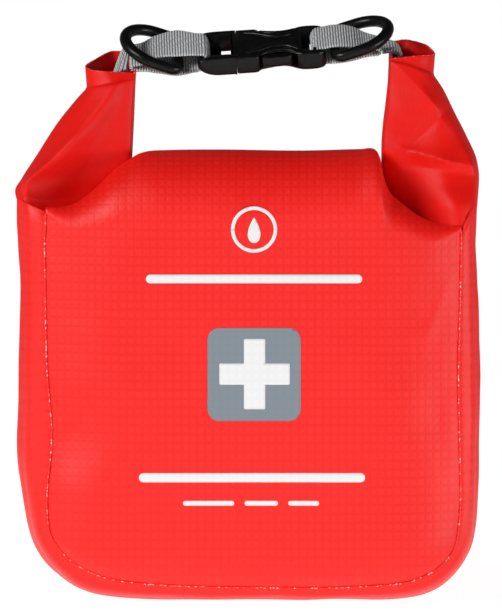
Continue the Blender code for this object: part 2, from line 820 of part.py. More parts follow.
def add_axis(name, position, parent=None):
    """An empty at a joint's axis, in metres, that the moving pieces hang from."""
    empty = bpy.data.objects.new(name, None)
    PARTS.objects.link(empty)
    empty.empty_display_size = 0.01
    if parent is not None:
        empty.parent = parent
        empty.matrix_parent_inverse = Matrix.Translation(parent["at"]).inverted()
    empty.location = position
    empty["at"] = list(position)
    return empty


def hang(obj, axis):
    obj.parent = axis
    obj.matrix_parent_inverse = Matrix.Translation(Vector(axis["at"])).inverted()


def make_handle_side(side):
    """Everything that moves on one side, hung from its joints' axes."""
    ear_axis = add_axis(f"{side}_ear_axis", Vector(EAR_PIVOT[side]) * MM)
    exit_point = in_handle(STRAP_EXIT[side], 0, 0)
    level_axis = add_axis(f"{side}_level_axis", exit_point, ear_axis)
    lean_axis = add_axis(f"{side}_lean_axis", exit_point, level_axis)
    hang(make_ear(side), ear_axis)
    for piece in make_roll_end(side):
        hang(piece, ear_axis)
    hang(make_strap_tail(side), level_axis)
    hang(make_webbing_loop(side), lean_axis)
    ring_axis = add_axis(f"{side}_d_ring_axis", in_handle(RING_BAR[side], 0, 0), lean_axis)
    hang(make_d_ring(side), ring_axis)
    return lean_axis


def make_handle():
    left_axis = make_handle_side("left")
    right_axis = make_handle_side("right")
    hang(make_buckle_male(), left_axis)
    for name in ("slot", "bar", "tongue"):
        hang(bpy.data.objects[f"buckle_male_{name}"], left_axis)
    hang(make_buckle_female(), right_axis)
    for name in ("slot", "bar", "cavity", "window"):
        hang(bpy.data.objects[f"buckle_female_{name}"], right_axis)
    for name, sign in (("latch_arm_front", -1), ("latch_arm_back", 1)):
        root = in_handle(MALE_FACE + GAP, sign * ARM_ROOT_Y, 0)
        hang(make_latch_arm(name, sign), add_axis(f"{name}_axis", root, left_axis))


make_front_panel()
make_back_panel()
make_gusset()
make_rolled_mouth()
make_handle()
make_contents()
make_scissors()
make_tweezer_arm("tweezer_arm_left", -1)
make_tweezer_arm("tweezer_arm_right", 1)
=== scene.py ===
"""Looks of the roll-top first aid kit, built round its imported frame.

Lengths are in millimetres and become metres as each mesh is made. +X is to the right of someone
who looks at the front, which faces -Y. The handle's pieces are drawn in the handle's own frame,
which the frame's joints give: X along the strap, Y across it and Z out of its upper face.
"""
import json
from math import copysign, cos, dist, exp, pi, radians, sin, sqrt, tan

import bmesh
import bpy
from mathutils import Matrix, Vector, noise


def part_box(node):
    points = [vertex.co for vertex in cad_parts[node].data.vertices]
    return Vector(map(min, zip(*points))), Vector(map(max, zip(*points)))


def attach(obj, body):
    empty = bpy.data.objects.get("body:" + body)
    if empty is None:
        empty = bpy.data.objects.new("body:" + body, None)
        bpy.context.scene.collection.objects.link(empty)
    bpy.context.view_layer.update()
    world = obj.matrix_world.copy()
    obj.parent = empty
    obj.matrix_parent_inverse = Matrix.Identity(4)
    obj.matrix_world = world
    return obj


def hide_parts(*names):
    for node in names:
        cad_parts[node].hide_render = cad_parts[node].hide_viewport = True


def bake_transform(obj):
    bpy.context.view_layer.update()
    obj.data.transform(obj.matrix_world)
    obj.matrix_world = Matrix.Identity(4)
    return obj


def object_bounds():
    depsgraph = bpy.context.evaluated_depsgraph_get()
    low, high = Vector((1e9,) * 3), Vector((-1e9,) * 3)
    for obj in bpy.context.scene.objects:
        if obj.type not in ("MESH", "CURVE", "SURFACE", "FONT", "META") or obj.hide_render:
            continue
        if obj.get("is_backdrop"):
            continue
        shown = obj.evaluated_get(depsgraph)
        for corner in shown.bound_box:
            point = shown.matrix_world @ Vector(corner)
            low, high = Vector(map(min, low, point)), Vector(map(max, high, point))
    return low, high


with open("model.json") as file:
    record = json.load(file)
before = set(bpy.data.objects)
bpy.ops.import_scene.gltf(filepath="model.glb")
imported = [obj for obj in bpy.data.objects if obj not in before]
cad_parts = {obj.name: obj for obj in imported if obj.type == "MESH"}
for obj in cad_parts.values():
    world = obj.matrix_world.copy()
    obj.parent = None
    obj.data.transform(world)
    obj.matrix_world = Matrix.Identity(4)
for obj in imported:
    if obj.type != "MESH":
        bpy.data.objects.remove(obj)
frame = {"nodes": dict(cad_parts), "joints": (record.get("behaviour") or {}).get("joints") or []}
cad_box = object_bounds()

MM = 0.001
FABRIC = 0.8
EAR_FABRIC = 0.9
SEAM_Y = 25.4
SEAM_FOOT = 6.4
BULGE = 9
FRONT_WIDTH = 162
FRONT_HEIGHT = 145
PRINT_LIFT = 0.12

# ---------------------------------------------------------------- curves and meshes


def mix(a, b, t):
    return a + (b - a) * t


def clamp(t):
    return min(1, max(0, t))


def ease(t):
    t = clamp(t)
    return t * t * (3 - 2 * t)


def lump(x, y, z):
    """Smooth noise, from -1 to 1, at a place."""
    return noise.noise(Vector((x, y, z)))


def curve_through(points):
    """A smooth curve that reaches the given points: the result takes t from 0 to 1."""
    knots = [Vector(p) for p in points]
    ring = [2 * knots[0] - knots[1], *knots, 2 * knots[-1] - knots[-2]]
    spans = len(ring) - 3

    def at(t):
        place = clamp(t) * spans
        k = min(int(place), spans - 1)
        t = place - k
        a, b, c, d = ring[k : k + 4]
        bend = (2 * a - 5 * b + 4 * c - d) * t**2 + (3 * b - a - 3 * c + d) * t**3
        return 0.5 * (2 * b + (c - a) * t + bend)

    return at


def profile(points):
    """A smooth function through (x, y) points, which are in order of x, and level beyond them."""
    last = len(points) - 1
    slopes = []
    for k in range(last + 1):
        (x0, y0), (x1, y1) = points[max(0, k - 1)], points[min(last, k + 1)]
        slopes.append((y1 - y0) / (x1 - x0))

    def at(x):
        if x <= points[0][0]:
            return points[0][1]
        if x >= points[-1][0]:
            return points[-1][1]
        k = next(i for i in range(last) if x <= points[i + 1][0])
        (x0, y0), (x1, y1) = points[k], points[k + 1]
        width = x1 - x0
        t = (x - x0) / width
        start = y0 * (1 + 2 * t) * (1 - t) ** 2 + slopes[k] * width * t * (1 - t) ** 2
        return start + y1 * t * t * (3 - 2 * t) + slopes[k + 1] * width * t * t * (t - 1)

    return at


def put(name, data):
    """A new object in the scene."""
    obj = bpy.data.objects.new(name, data)
    bpy.context.scene.collection.objects.link(obj)
    return obj


def shade_smooth(mesh):
    mesh.polygons.foreach_set("use_smooth", [True] * len(mesh.polygons))


def edit_mesh(obj, change):
    """Let change(bm) work on an object's mesh."""
    bm = bmesh.new()
    bm.from_mesh(obj.data)
    change(bm)
    bm.to_mesh(obj.data)
    bm.free()
    return obj


def draw_mesh(name, draw):
    """A new object whose mesh draw(bm) makes."""
    return edit_mesh(put(name, bpy.data.meshes.new(name)), draw)


def recalculate(obj):
    """Turn every face outwards."""
    return edit_mesh(obj, lambda bm: bmesh.ops.recalc_face_normals(bm, faces=bm.faces))


def add_mesh(name, points, faces, uvs=None, matrix=None):
    """An object of a mesh in millimetres, with a UV map in millimetres of cloth."""
    mesh = bpy.data.meshes.new(name)
    mesh.from_pydata([Vector(p) * MM for p in points], [], faces)
    if uvs:
        layer = mesh.uv_layers.new(name="cloth")
        layer.data.foreach_set("uv", [value for uv in uvs for value in uv])
    shade_smooth(mesh)
    if matrix:
        mesh.transform(matrix)
    mesh.update()
    return put(name, mesh)


def tube_faces(first, rings, sides):
    """The faces of a closed tube whose points start at first: its walls and two caps."""
    faces = []
    for start in range(first, first + (rings - 1) * sides, sides):
        for i in range(sides):
            a, b = start + i, start + (i + 1) % sides
            faces.append((a, b, b + sides, a + sides))
    last = first + (rings - 1) * sides
    return faces + [tuple(range(first, first + sides))[::-1], tuple(range(last, last + sides))]


def add_sheet(name, columns, rows, place, flat, around=False, cyclic=False, matrix=None):
    """A grid that place(u, v) puts in space. flat(u, v) is where a point was on the flat cloth."""
    across = columns if around else columns + 1
    high = rows if cyclic else rows + 1
    points = [place(i / columns, j / rows) for j in range(high) for i in range(across)]
    faces, uvs = [], []
    for j in range(rows):
        low, up = j * across, (j + 1) % high * across
        for i in range(columns):
            n = (i + 1) % across
            faces.append((low + i, low + n, up + n, up + i))
            for di, dj in ((0, 0), (1, 0), (1, 1), (0, 1)):
                uvs.append(flat((i + di) / columns, (j + dj) / rows))
    return add_mesh(name, points, faces, uvs, matrix)


def settle_modifiers(obj):
    """Turn an object's modifiers into its mesh."""
    evaluated = obj.evaluated_get(bpy.context.evaluated_depsgraph_get())
    mesh = bpy.data.meshes.new_from_object(evaluated)
    obj.modifiers.clear()
    obj.data = mesh
    return obj


def thicken(obj, thickness=FABRIC, offset=-1, rim=0.25):
    """Give a sheet its thickness, inwards from the drawn side, with a slightly rounded edge."""
    solidify = obj.modifiers.new("thickness", "SOLIDIFY")
    solidify.thickness = thickness * MM
    solidify.offset = offset
    if rim:
        soften(obj, rim)
    return settle_modifiers(obj)


def soften(obj, width, angle=35):
    bevel = obj.modifiers.new("rounded_edges", "BEVEL")
    bevel.width = width * MM
    bevel.segments = 2
    bevel.limit_method = "ANGLE"
    bevel.angle_limit = radians(angle)


def combine(obj, other, operation):
    """Cut another object from this one, or join it on, and use it up."""
    boolean = obj.modifiers.new("shape", "BOOLEAN")
    boolean.operation = operation
    boolean.solver = "EXACT"
    boolean.object = other
    settle_modifiers(obj)
    bpy.data.objects.remove(other)


def paint(obj, material):
    obj.data.materials.clear()
    obj.data.materials.append(material)


def finish_piece(obj, body, slot, material, *replaced):
    """Ride on a body, take a material, and stand for the CAD nodes named. The slot is not used."""
    paint(obj, material)
    if body:
        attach(obj, body)
    if replaced:
        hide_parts(*replaced)


# ---------------------------------------------------------------- materials


class Nodes:
    """Adds nodes to a tree. An input takes a number, a colour or another node's output."""

    def __init__(self, tree):
        self.tree = tree

    def fill(self, socket, value):
        if isinstance(value, bpy.types.NodeSocket):
            self.tree.links.new(value, socket)
        elif socket.type == "RGBA":
            socket.default_value = (*value, 1)
        else:
            socket.default_value = value

    def add(self, kind, inputs=None, **settings):
        node = self.tree.nodes.new(kind)
        for name, value in settings.items():
            setattr(node, name, value)
        for name, value in (inputs or {}).items():
            self.fill(node.inputs[name], value)
        return node

    def maths(self, operation, *values):
        return self.add("ShaderNodeMath", dict(enumerate(values)), operation=operation).outputs[0]

    def times(self, a, b):
        return self.maths("MULTIPLY", a, b)

    def times_plus(self, a, b, c):
        return self.maths("MULTIPLY_ADD", a, b, c)

    def blend(self, share, a, b):
        node = self.add("ShaderNodeMix", {0: share, 6: a, 7: b}, data_type="RGBA")
        return node.outputs[2]

    def ramp(self, value, low, high):
        """Map a value so that low gives 0 and high gives 1, held at both ends."""
        inputs = {"Value": value, "From Min": low, "From Max": high}
        return self.add("ShaderNodeMapRange", inputs).outputs["Result"]

    def noise(self, place, scale, detail=2, rough=0.5):
        inputs = {"Vector": place, "Scale": scale, "Detail": detail, "Roughness": rough}
        return self.add("ShaderNodeTexNoise", inputs).outputs["Fac"]

    def bands(self, place, pitch, direction):
        """A wave from 0 to 1 that repeats every pitch along a direction."""
        inputs = {"Vector": place, "Scale": pi / 10 / pitch}
        settings = {"wave_type": "BANDS", "bands_direction": direction, "wave_profile": "SIN"}
        return self.add("ShaderNodeTexWave", inputs, **settings).outputs["Fac"]

    def mapped(self, place, **change):
        return self.add("ShaderNodeMapping", {"Vector": place, **change}).outputs[0]


class Look(Nodes):
    """A material under way, with its cloth coordinates and its body coordinates in mm."""

    def __init__(self, name, roughness, specular=0.5, metallic=0):
        self.material = bpy.data.materials.new(name)
        self.material.use_nodes = True
        super().__init__(self.material.node_tree)
        self.set("Roughness", roughness)
        self.set("Metallic", metallic)
        self.set("Specular IOR Level", specular)
        self.cloth = self.add("ShaderNodeUVMap", uv_map="cloth").outputs["UV"]
        spot = self.add("ShaderNodeTexCoord").outputs["Object"]
        scaled = {0: spot, "Scale": 1 / MM}
        self.spot = self.add("ShaderNodeVectorMath", scaled, operation="SCALE").outputs[0]

    def set(self, name, value):
        self.fill(self.tree.nodes["Principled BSDF"].inputs[name], value)

    def finish(self, colour, relief, depth):
        """The material, with its colour and its relief, whose depth is in mm."""
        self.set("Base Color", colour)
        inputs = {"Height": relief, "Distance": depth * MM, "Strength": 1}
        self.set("Normal", self.add("ShaderNodeBump", inputs).outputs["Normal"])
        return self.material

    def weave(self):
        """The scrim that shows through the coating: fine threads, and a coarser grid."""
        fine = self.times(*(self.bands(self.cloth, THREAD, axis) for axis in "XY"))
        lines = ((GRID_X, "X"), (GRID_Y, "Y"))
        grid = (self.ramp(self.bands(self.cloth, *line), 0.45, 1) for line in lines)
        return fine, self.maths("MAXIMUM", *grid)


THREAD = 1.17
GRID_X = 3.05
GRID_Y = 3.45
RED = (0.84, 0.0065, 0.0035)
DEEP_RED = (0.60, 0.004, 0.003)
PALE_RED = (0.93, 0.014, 0.009)
WORN_RED = (0.97, 0.050, 0.038)


def scaled(colour, factor):
    return tuple(value * factor for value in colour)


def make_tarpaulin(name, woven=1, gloss=0.36, depth=1):
    """Coated cloth: its colour, woven relief, handling marks and patchy gloss. A depth below 1
    darkens every colour, which paints shade on that copy of the cloth.
    """
    look = Look(name, 0.5, gloss)
    spot = look.spot
    # depth scales the red, the dark and the pale alike: below 1 this is painted shade.
    red, dark, pale = (scaled(colour, depth) for colour in (RED, DEEP_RED, PALE_RED))
    fine, grid = look.weave()
    patches = look.ramp(look.noise(spot, 0.03), 0.3, 0.7)
    base = look.blend(look.times(patches, 0.14), red, dark)
    base = look.blend(look.times(look.noise(spot, 0.9, 3, 0.6), 0.14), base, pale)
    base = look.blend(look.times(grid, 0.16 * woven), base, dark)
    worn = look.ramp(look.noise(spot, 0.35, 4, 0.7), 0.25, 0.75)
    cells = look.times_plus(grid, -0.20 * woven, 0.20 * woven)
    base = look.blend(look.times(cells, worn), base, WORN_RED)
    base = look.blend(look.times(fine, 0.10 * woven), base, pale)
    look.set("Roughness", look.times_plus(look.noise(spot, 0.08, 4, 0.6), 0.16, 0.42))
    relief = look.times_plus(fine, 0.35, look.times(grid, -1))
    relief = look.times_plus(look.noise(spot, 0.35, 3), 1.4, relief)
    return look.finish(base, relief, 0.035 * woven + 0.01)


def make_cut_edge():
    """The raw edge of the coated cloth: red, with pale scrim ends that catch the light."""
    look = Look("tarpaulin_cut_edge", 0.5)
    cells = {"Vector": look.spot, "Scale": 0.85}
    dots = look.add("ShaderNodeTexVoronoi", cells, feature="F1").outputs["Distance"]
    sparse = look.ramp(look.noise(look.spot, 0.045), 0.28, 0.48)
    pale = look.times(look.ramp(dots, 0.45, 0.2), sparse)
    return look.finish(look.blend(pale, PALE_RED, (0.95, 0.62, 0.58)), dots, 0.15)


def make_print(name, colour):
    """Screen-print ink: it follows the weave and wears thin in specks."""
    look = Look(name, 0.46)
    fine, grid = look.weave()
    specks = look.ramp(look.noise(look.spot, 2.6, 2, 0.6), 0.70, 0.80)
    worn = tuple(mix(a, b, 0.35) for a, b in zip(colour, RED))
    base = look.blend(look.times(specks, 0.35), colour, worn)
    base = look.blend(look.times(grid, 0.2), base, scaled(colour, 0.86))
    return look.finish(base, look.times_plus(fine, 0.35, look.times(grid, -0.8)), 0.014)


RIB = 1.04
TWIST = 0.85
TWIST_ANGLE = radians(38)


def make_webbing():
    """Grey webbing: pale corded ribs across it and twisted yarn on each rib, with painted shade,
    near black, in the gaps between the ribs and between the twists.
    """
    look = Look("webbing_ribbed", 0.9, 0.2)
    rib = look.bands(look.cloth, RIB, "Y")
    twist = look.bands(look.mapped(look.cloth, Rotation=(0, 0, TWIST_ANGLE)), TWIST, "X")
    yarn = look.times(look.ramp(rib, -0.05, 0.5), look.ramp(twist, -0.6, 0.45))
    fuzz = look.noise(look.spot, 3, 3, 0.7)
    yarn = look.times(yarn, look.ramp(fuzz, 0.05, 0.55))
    look.set("Sheen Weight", 0.25)
    # The near-black colour is painted shade in the grooves between ribs and twists, where the
    # relief is low; the pale grey is the webbing's own colour.
    base = look.blend(yarn, (0.02, 0.02, 0.022), (0.87, 0.88, 0.90))
    return look.finish(base, look.maths("ADD", yarn, look.times(fuzz, 0.4)), 0.12)


def make_plain(name, colour, other, roughness, grain, relief, specular=0.5):
    """A surface of two near colours in patches, with a fine grain in relief."""
    look = Look(name, roughness, specular)
    patches = look.noise(look.spot, grain * 0.15, 3, 0.6)
    fine = look.noise(look.spot, grain, 4, 0.6)
    look.set("Roughness", look.times_plus(fine, 0.2, roughness - 0.1))
    return look.finish(look.blend(look.ramp(patches, 0.3, 0.7), colour, other), fine, relief)


def make_crepe():
    """Stretch bandage: soft crinkled threads round the roll."""
    look = Look("crepe_cloth", 0.95, 0.2)
    wobble = look.times(look.noise(look.spot, 0.5, 3), 1.5)
    crinkle = look.noise(look.spot, 1.6, 4, 0.7)
    height = look.maths("ADD", look.times(look.bands(look.spot, 1.1, "X"), 0.8), wobble)
    base = look.blend(crinkle, (0.70, 0.60, 0.46), (0.90, 0.84, 0.72))
    return look.finish(base, look.maths("ADD", height, crinkle), 0.25)


def make_brushed(name, colour, roughness, relief):
    """Bare metal with fine lines along its length, or crinkled foil where the relief is deep."""
    look = Look(name, roughness, metallic=1)
    lines = look.noise(look.mapped(look.spot, Scale=(1, 1, 0.08)), 2.2, 4, 0.7)
    look.set("Roughness", look.times_plus(lines, 0.18, roughness - 0.08))
    return look.finish(look.blend(lines, scaled(colour, 0.82), colour), lines, relief)


TARPAULIN = make_tarpaulin("tarpaulin_coated")
# The ears' copy of the cloth has a fainter weave, less gloss and every colour darkened to 0.93,
# which is painted shade.
SMOOTH_SHADED_TARPAULIN = make_tarpaulin("tarpaulin_folded", 0.2, 0.2, 0.93)
CUT_EDGE = make_cut_edge()
WEBBING = make_webbing()
ACETAL = make_plain(
    "acetal_black", (0.003, 0.0028, 0.0027), (0.006, 0.0057, 0.0055), 0.28, 3.2, 0.02, 0.2
)
INK_WHITE = make_print("ink_white", (0.76, 0.77, 0.77))
INK_GREY = make_print("ink_grey", (0.185, 0.222, 0.258))

NODE_MATERIALS = {
    "stiffener": make_plain("stiffener_strip", (0.03,) * 3, (0.05,) * 3, 0.6, 1.5, 0.04),
    "crepe": make_crepe(),
    "tape": make_plain("tape_cloth", (0.80, 0.79, 0.74), (0.88, 0.87, 0.83), 0.7, 2.4, 0.05),
    "card": make_plain("card_fibres", (0.46, 0.34, 0.21), (0.62, 0.49, 0.33), 0.9, 1.2, 0.06),
    "packet_white": make_plain("paper_white", (0.80,) * 3, (0.90,) * 3, 0.55, 0.7, 0.12),
    "packet_green": make_plain(
        "paper_green", (0.07, 0.30, 0.17), (0.13, 0.42, 0.27), 0.5, 0.7, 0.12
    ),
    "packet_blue": make_plain(
        "film_blue", (0.08, 0.22, 0.45), (0.16, 0.34, 0.60), 0.4, 0.6, 0.15
    ),
    "foil": make_brushed("foil_crinkled", (0.80, 0.80, 0.82), 0.25, 0.35),
    "leaflet": make_plain("leaflet_paper", (0.84, 0.84, 0.79), (0.91, 0.91, 0.87), 0.8, 1.6, 0.03),
    "steel": make_brushed("steel_brushed", (0.64, 0.64, 0.65), 0.3, 0.02),
}


def paint_nodes():
    """Give each CAD node still in view a material, by the name of the one it came with."""
    for obj in frame["nodes"].values():
        if not obj.hide_render:
            given = obj.data.materials[0].name if obj.data.materials else ""
            found = (m for slot, m in NODE_MATERIALS.items() if given.startswith(slot))
            paint(obj, next(found, ACETAL))


# ---------------------------------------------------------------- bag body

# Down the left side, along the bottom and up the right side: the front seam's (x, z), and the
# (x, z) of the gusset's middle, which bows out beyond it.
RIM = [
    (-79, 153.8, -91.4, 159),
    (-79.4, 139, -90.7, 141),
    (-79.2, 118, -89.6, 118),
    (-78.6, 92, -90.5, 92),
    (-76.8, 66, -91.2, 62),
    (-78.6, 44, -89.3, 43),
    (-77.9, 29.5, -86.4, 27.6),
    (-74.4, 22.2, -81.8, 17.4),
    (-68.6, 16.3, -75.6, 10.2),
    (-60.5, 11.8, -66, 3.7),
    (-50, 8.9, -52, 0.7),
    (-30, 7.1, -30, 0),
    (0, 6.4, 0, 0),
    (32, 6.3, 34, 0),
    (58, 7.8, 60, 0.5),
    (69, 11, 72, 3.3),
    (76.2, 16, 80.2, 8.8),
    (80.6, 22, 86, 16.8),
    (82.2, 30, 89.4, 27),
    (82.9, 44, 90.9, 46),
    (82.3, 70, 91.2, 70),
    (82, 92, 91.1, 92),
    (82.6, 118, 90.2, 118),
    (83, 138, 89.4, 141),
    (83, 146.5, 90.2, 160),
]
LEFT_CORNER = 8 / (len(RIM) - 1)
RIGHT_CORNER = 16 / (len(RIM) - 1)
seam_at = curve_through([(x, z) for x, z, _, _ in RIM])
bow_at = curve_through([(x, z) for _, _, x, z in RIM])

# Over the top of the front: the line it rises to, how far back that is, the height of the bend
# below it, and where the cloth goes behind it.
CREST_Z = profile(
    [(-79.4, 155.3), (-75, 155.2), (-71, 155.6), (-66.4, 157.2), (-58.5, 163.5), (-52.6, 169.4),
     (-46.5, 173.6), (-42, 176), (-36, 176.9), (-10, 177.2), (20, 176.8), (44, 177.4),
     (49.5, 177.4), (51.8, 173.5), (53, 166.5), (55.5, 160.5), (59.5, 156.9), (66, 152),
     (72.7, 149), (78.2, 148), (83, 148)]
)
CREST_Y = profile(
    [(-79.4, -24), (-70, -19), (-58, -15), (-46, -11), (-30, -8), (30, -8), (47, -9),
     (54, -14), (62, -18), (72, -21), (83, -24)]
)
BEND = profile(
    [(-79.4, 1.5), (-74, 6), (-66, 11), (-52, 20), (-40, 26), (40, 26), (48, 23),
     (53, 17), (60, 12), (72, 8), (83, 1.5)]
)
TUCK_Y = profile(
    [(-79.4, -20), (-70, -9), (-58, -5), (-46, 1), (-38, 6), (42, 6), (49, 1),
     (56, -5), (70, -11), (83, -20)]
)
TUCK_DROP = profile(
    [(-79.4, 2), (-60, 7), (-44, 8), (-38, 12), (42, 12), (49, 10), (60, 8), (83, 2)]
)
FRONT_SHARE = 0.62
BEND_SHARE = 0.24
FRONT_FOLDS = [
    (0.55, (76.6, 122), (70.7, 107.6), 2.2),
    (0.45, (70.7, 107.6), (64.5, 106.4), 1.8, 4),
    (-0.5, (-77, 60), (-66, 72), 2.5),
]
SIDE_SWELL = 46
LOW_SWELL = 44
BACK_SHARE = 0.75
BACK_LIP = 9


def patch(u, t):
    """The front's flat outline from the bottom seam, t=0, to the bend, t=1, as (x, z)."""
    bottom = seam_at(mix(LEFT_CORNER, RIGHT_CORNER, u))
    left = seam_at(LEFT_CORNER * (1 - t))
    right = seam_at(mix(RIGHT_CORNER, 1, t))
    x = mix(RIM[0][0], RIM[-1][0], u)
    top = Vector((x, CREST_Z(x) - BEND(x)))
    ends = (seam_at(LEFT_CORNER), seam_at(RIGHT_CORNER), seam_at(0), seam_at(1))
    corners = mix(mix(ends[0], ends[1], u), mix(ends[2], ends[3], u), t)
    return mix(bottom, top, t) + mix(left, right, u) - corners


def swell(distance, reach):
    """How full the bag is at a distance in from a seam: 0 on it and 1 from reach on."""
    return 1 - (1 - clamp(distance / reach)) ** 2.2


def dent(x, z, middle, radius):
    """1 at the middle of a dent, falling off to 0 over about two radii."""
    return exp(-((x - middle[0]) ** 2 + (z - middle[1]) ** 2) / (2 * radius**2))


def crease(x, z, start, end, width, fade=8):
    """1 on a line between two points, falling off sharply to its sides and gently past its ends."""
    a, b = Vector(start), Vector(end)
    line = b - a
    along = (Vector((x, z)) - a).dot(line) / line.length
    beyond = max(0, -along, along - line.length)
    across = abs((Vector((x, z)) - a).cross(line)) / line.length
    return exp(-sqrt((across / width) ** 2 + 0.04)) * exp(-((beyond / fade) ** 2))


def folded(x, z, folds, already=0):
    """Creases on top of what moves a point already: each a depth, start, end, width and fade."""
    return sum((depth * crease(x, z, *fold) for depth, *fold in folds), already)


def fullness(u, t):
    """How full the bag is at a point of the front or back: 0 on the seams, 1 in the middle."""
    return swell(min(u, 1 - u) * FRONT_WIDTH, SIDE_SWELL) * swell(t * FRONT_HEIGHT, LOW_SWELL)


def front_depth(u, t, x, z):
    """How far the front stands out (towards -Y) at a point below the bend."""
    full = fullness(u, t)
    lumps = lump(x / 34, z / 40, 1.7) * 0.9
    lumps += lump(x / 13, z / 15, 5.1) * 0.22
    marks = -1.3 * dent(x, z, (-68, 68), 9) - 0.7 * dent(x, z, (74, 74), 7)
    marks = folded(x, z, FRONT_FOLDS, marks + 0.7 * dent(x, z, (-64, 45), 8))
    return SEAM_Y + BULGE * full + (lumps + marks) * min(1, 2.2 * full)


def front_point(u, v):
    if v <= FRONT_SHARE:
        t = v / FRONT_SHARE
        x, z = patch(u, t)
        return Vector((x, -front_depth(u, t, x, z), z))
    x, z = patch(u, 1)
    depth = -front_depth(u, 1, x, z)
    crest_y, crest_z = CREST_Y(x), CREST_Z(x)
    if v <= FRONT_SHARE + BEND_SHARE:
        angle = pi / 2 * (v - FRONT_SHARE) / BEND_SHARE
        y = mix(crest_y, depth, cos(angle))
        return Vector((x, y, mix(z, crest_z, sin(angle))))
    t = (v - FRONT_SHARE - BEND_SHARE) / (1 - FRONT_SHARE - BEND_SHARE)
    y = mix(crest_y, TUCK_Y(x), sin(pi / 2 * t))
    return Vector((x, y, crest_z - TUCK_DROP(x) * (1 - cos(pi / 2 * t))))


def front_flat(u, v):
    if v <= FRONT_SHARE:
        return tuple(patch(u, v / FRONT_SHARE))
    x, z = patch(u, 1)
    return x, z + (v - FRONT_SHARE) / BEND_SHARE * 1.55 * BEND(x)


BACK_TOP = profile(
    [(-79.4, 157), (-60, 161), (-46, 167), (-38, 171), (44, 171), (52, 168), (66, 162), (83, 159)]
)


def back_point(u, v):
    """The back, from its bottom seam up and over to the roll; u runs from +X to -X."""
    side = 1 - u
    t = min(1, v / BACK_SHARE)
    x, z = patch(side, t)
    over = BACK_TOP(x) - BACK_LIP
    if v <= BACK_SHARE:
        z = mix(z, z * over / max(1, patch(side, 1)[1]), ease(t))
    else:
        z = over
    full = fullness(u, t)
    lumps = lump(x / 31, z / 36, 9.3) * 1.1 + lump(x / 12, z / 14, 3.1) * 0.25
    y = SEAM_Y + (BULGE - 1.2) * full + lumps * min(1, 2.2 * full)
    if v <= BACK_SHARE:
        return Vector((x, y, z))
    angle = pi / 2 * (v - BACK_SHARE) / (1 - BACK_SHARE)
    inner = 22 if abs(x - 3) < 44 else 19
    return Vector((x, mix(inner, y, cos(angle)), z + BACK_LIP * sin(angle)))


def gusset_point(u, v):
    """The band round the sides and bottom: u runs round it and v from the front seam back."""
    seam, bow = seam_at(u), bow_at(u)
    across = 2 * v - 1
    out = (1 - abs(across) ** 2.5) ** (1 / 2.5)
    place = mix(seam, bow, out)
    ripple = lump(place.x / 21, across * 2.2, place.y / 21)
    away = (bow - seam).normalized() * ripple * 0.7 * out
    fold = -0.9 * exp(-(((across + 0.62) / 0.12) ** 2)) * abs(cos(pi * u))
    away += (bow - seam).normalized() * fold
    lift = 0
    if u < 0.02 or u > 0.98:
        lift = 1 - min(u, 1 - u) / 0.02
    y = (SEAM_Y + 0.35) * across * (1 - 0.05 * lift * lift)
    z = max(place.y + away.y, 0)
    return Vector((place.x + away.x, y, z - 0.3 * lift * lift))


def edge_strip(name, path, height, width, samples):
    """A thin raised strip along a path of (point, outward, side) triples."""
    points = []
    for k in range(samples + 1):
        point, outward, side = path(k / samples)
        wobble = 1 + 0.25 * noise.noise(point / 1.7)
        for a, b in ((-0.5, 0), (-0.5, 1), (0.5, 1), (0.5, 0)):
            points.append(point + side * (width * a) + outward * (height * b * wobble))
    return add_mesh(name, points, tube_faces(0, samples + 1, 4))


def seam_path(facing):
    """Along the seam, a little outside the panel's edge."""

    def at(t):
        u = mix(0.004, 0.996, t)
        x, z = seam_at(u)
        ahead = seam_at(min(1, u + 0.002)) - seam_at(max(0, u - 0.002))
        side = Vector((ahead.x, 0, ahead.y)).normalized().cross(Vector((0, 1, 0)))
        return Vector((x, facing * (SEAM_Y - 0.3), z)), Vector((0, facing, 0)), side

    return at


def make_bag():
    sheets = {
        "front_panel": (150, 130, front_point, front_flat, (0.163, 0.200)),
        "back_panel": (110, 90, back_point, lambda u, v: (162 * u, 165 * v), (0.163, 0.171)),
        "gusset": (260, 36, gusset_point, lambda u, v: (64 * v, 470 * u), (0.057, 0.470)),
    }
    for node, (columns, rows, place, flat, size) in sheets.items():
        sheet = add_sheet(f"{node}_cloth", columns, rows, place, flat)
        if node == "gusset":
            sheet.data.flip_normals()
        thicken(sheet)
        finish_piece(sheet, "bag", "tarpaulin", TARPAULIN, node)
    for name, facing in (("front_seam_edge", -1), ("back_seam_edge", 1)):
        edge = edge_strip(name, seam_path(facing), 0.95, 0.45, 420)
        finish_piece(edge, "bag", "tarpaulin", CUT_EDGE)


# ---------------------------------------------------------------- ears and rolled mouth

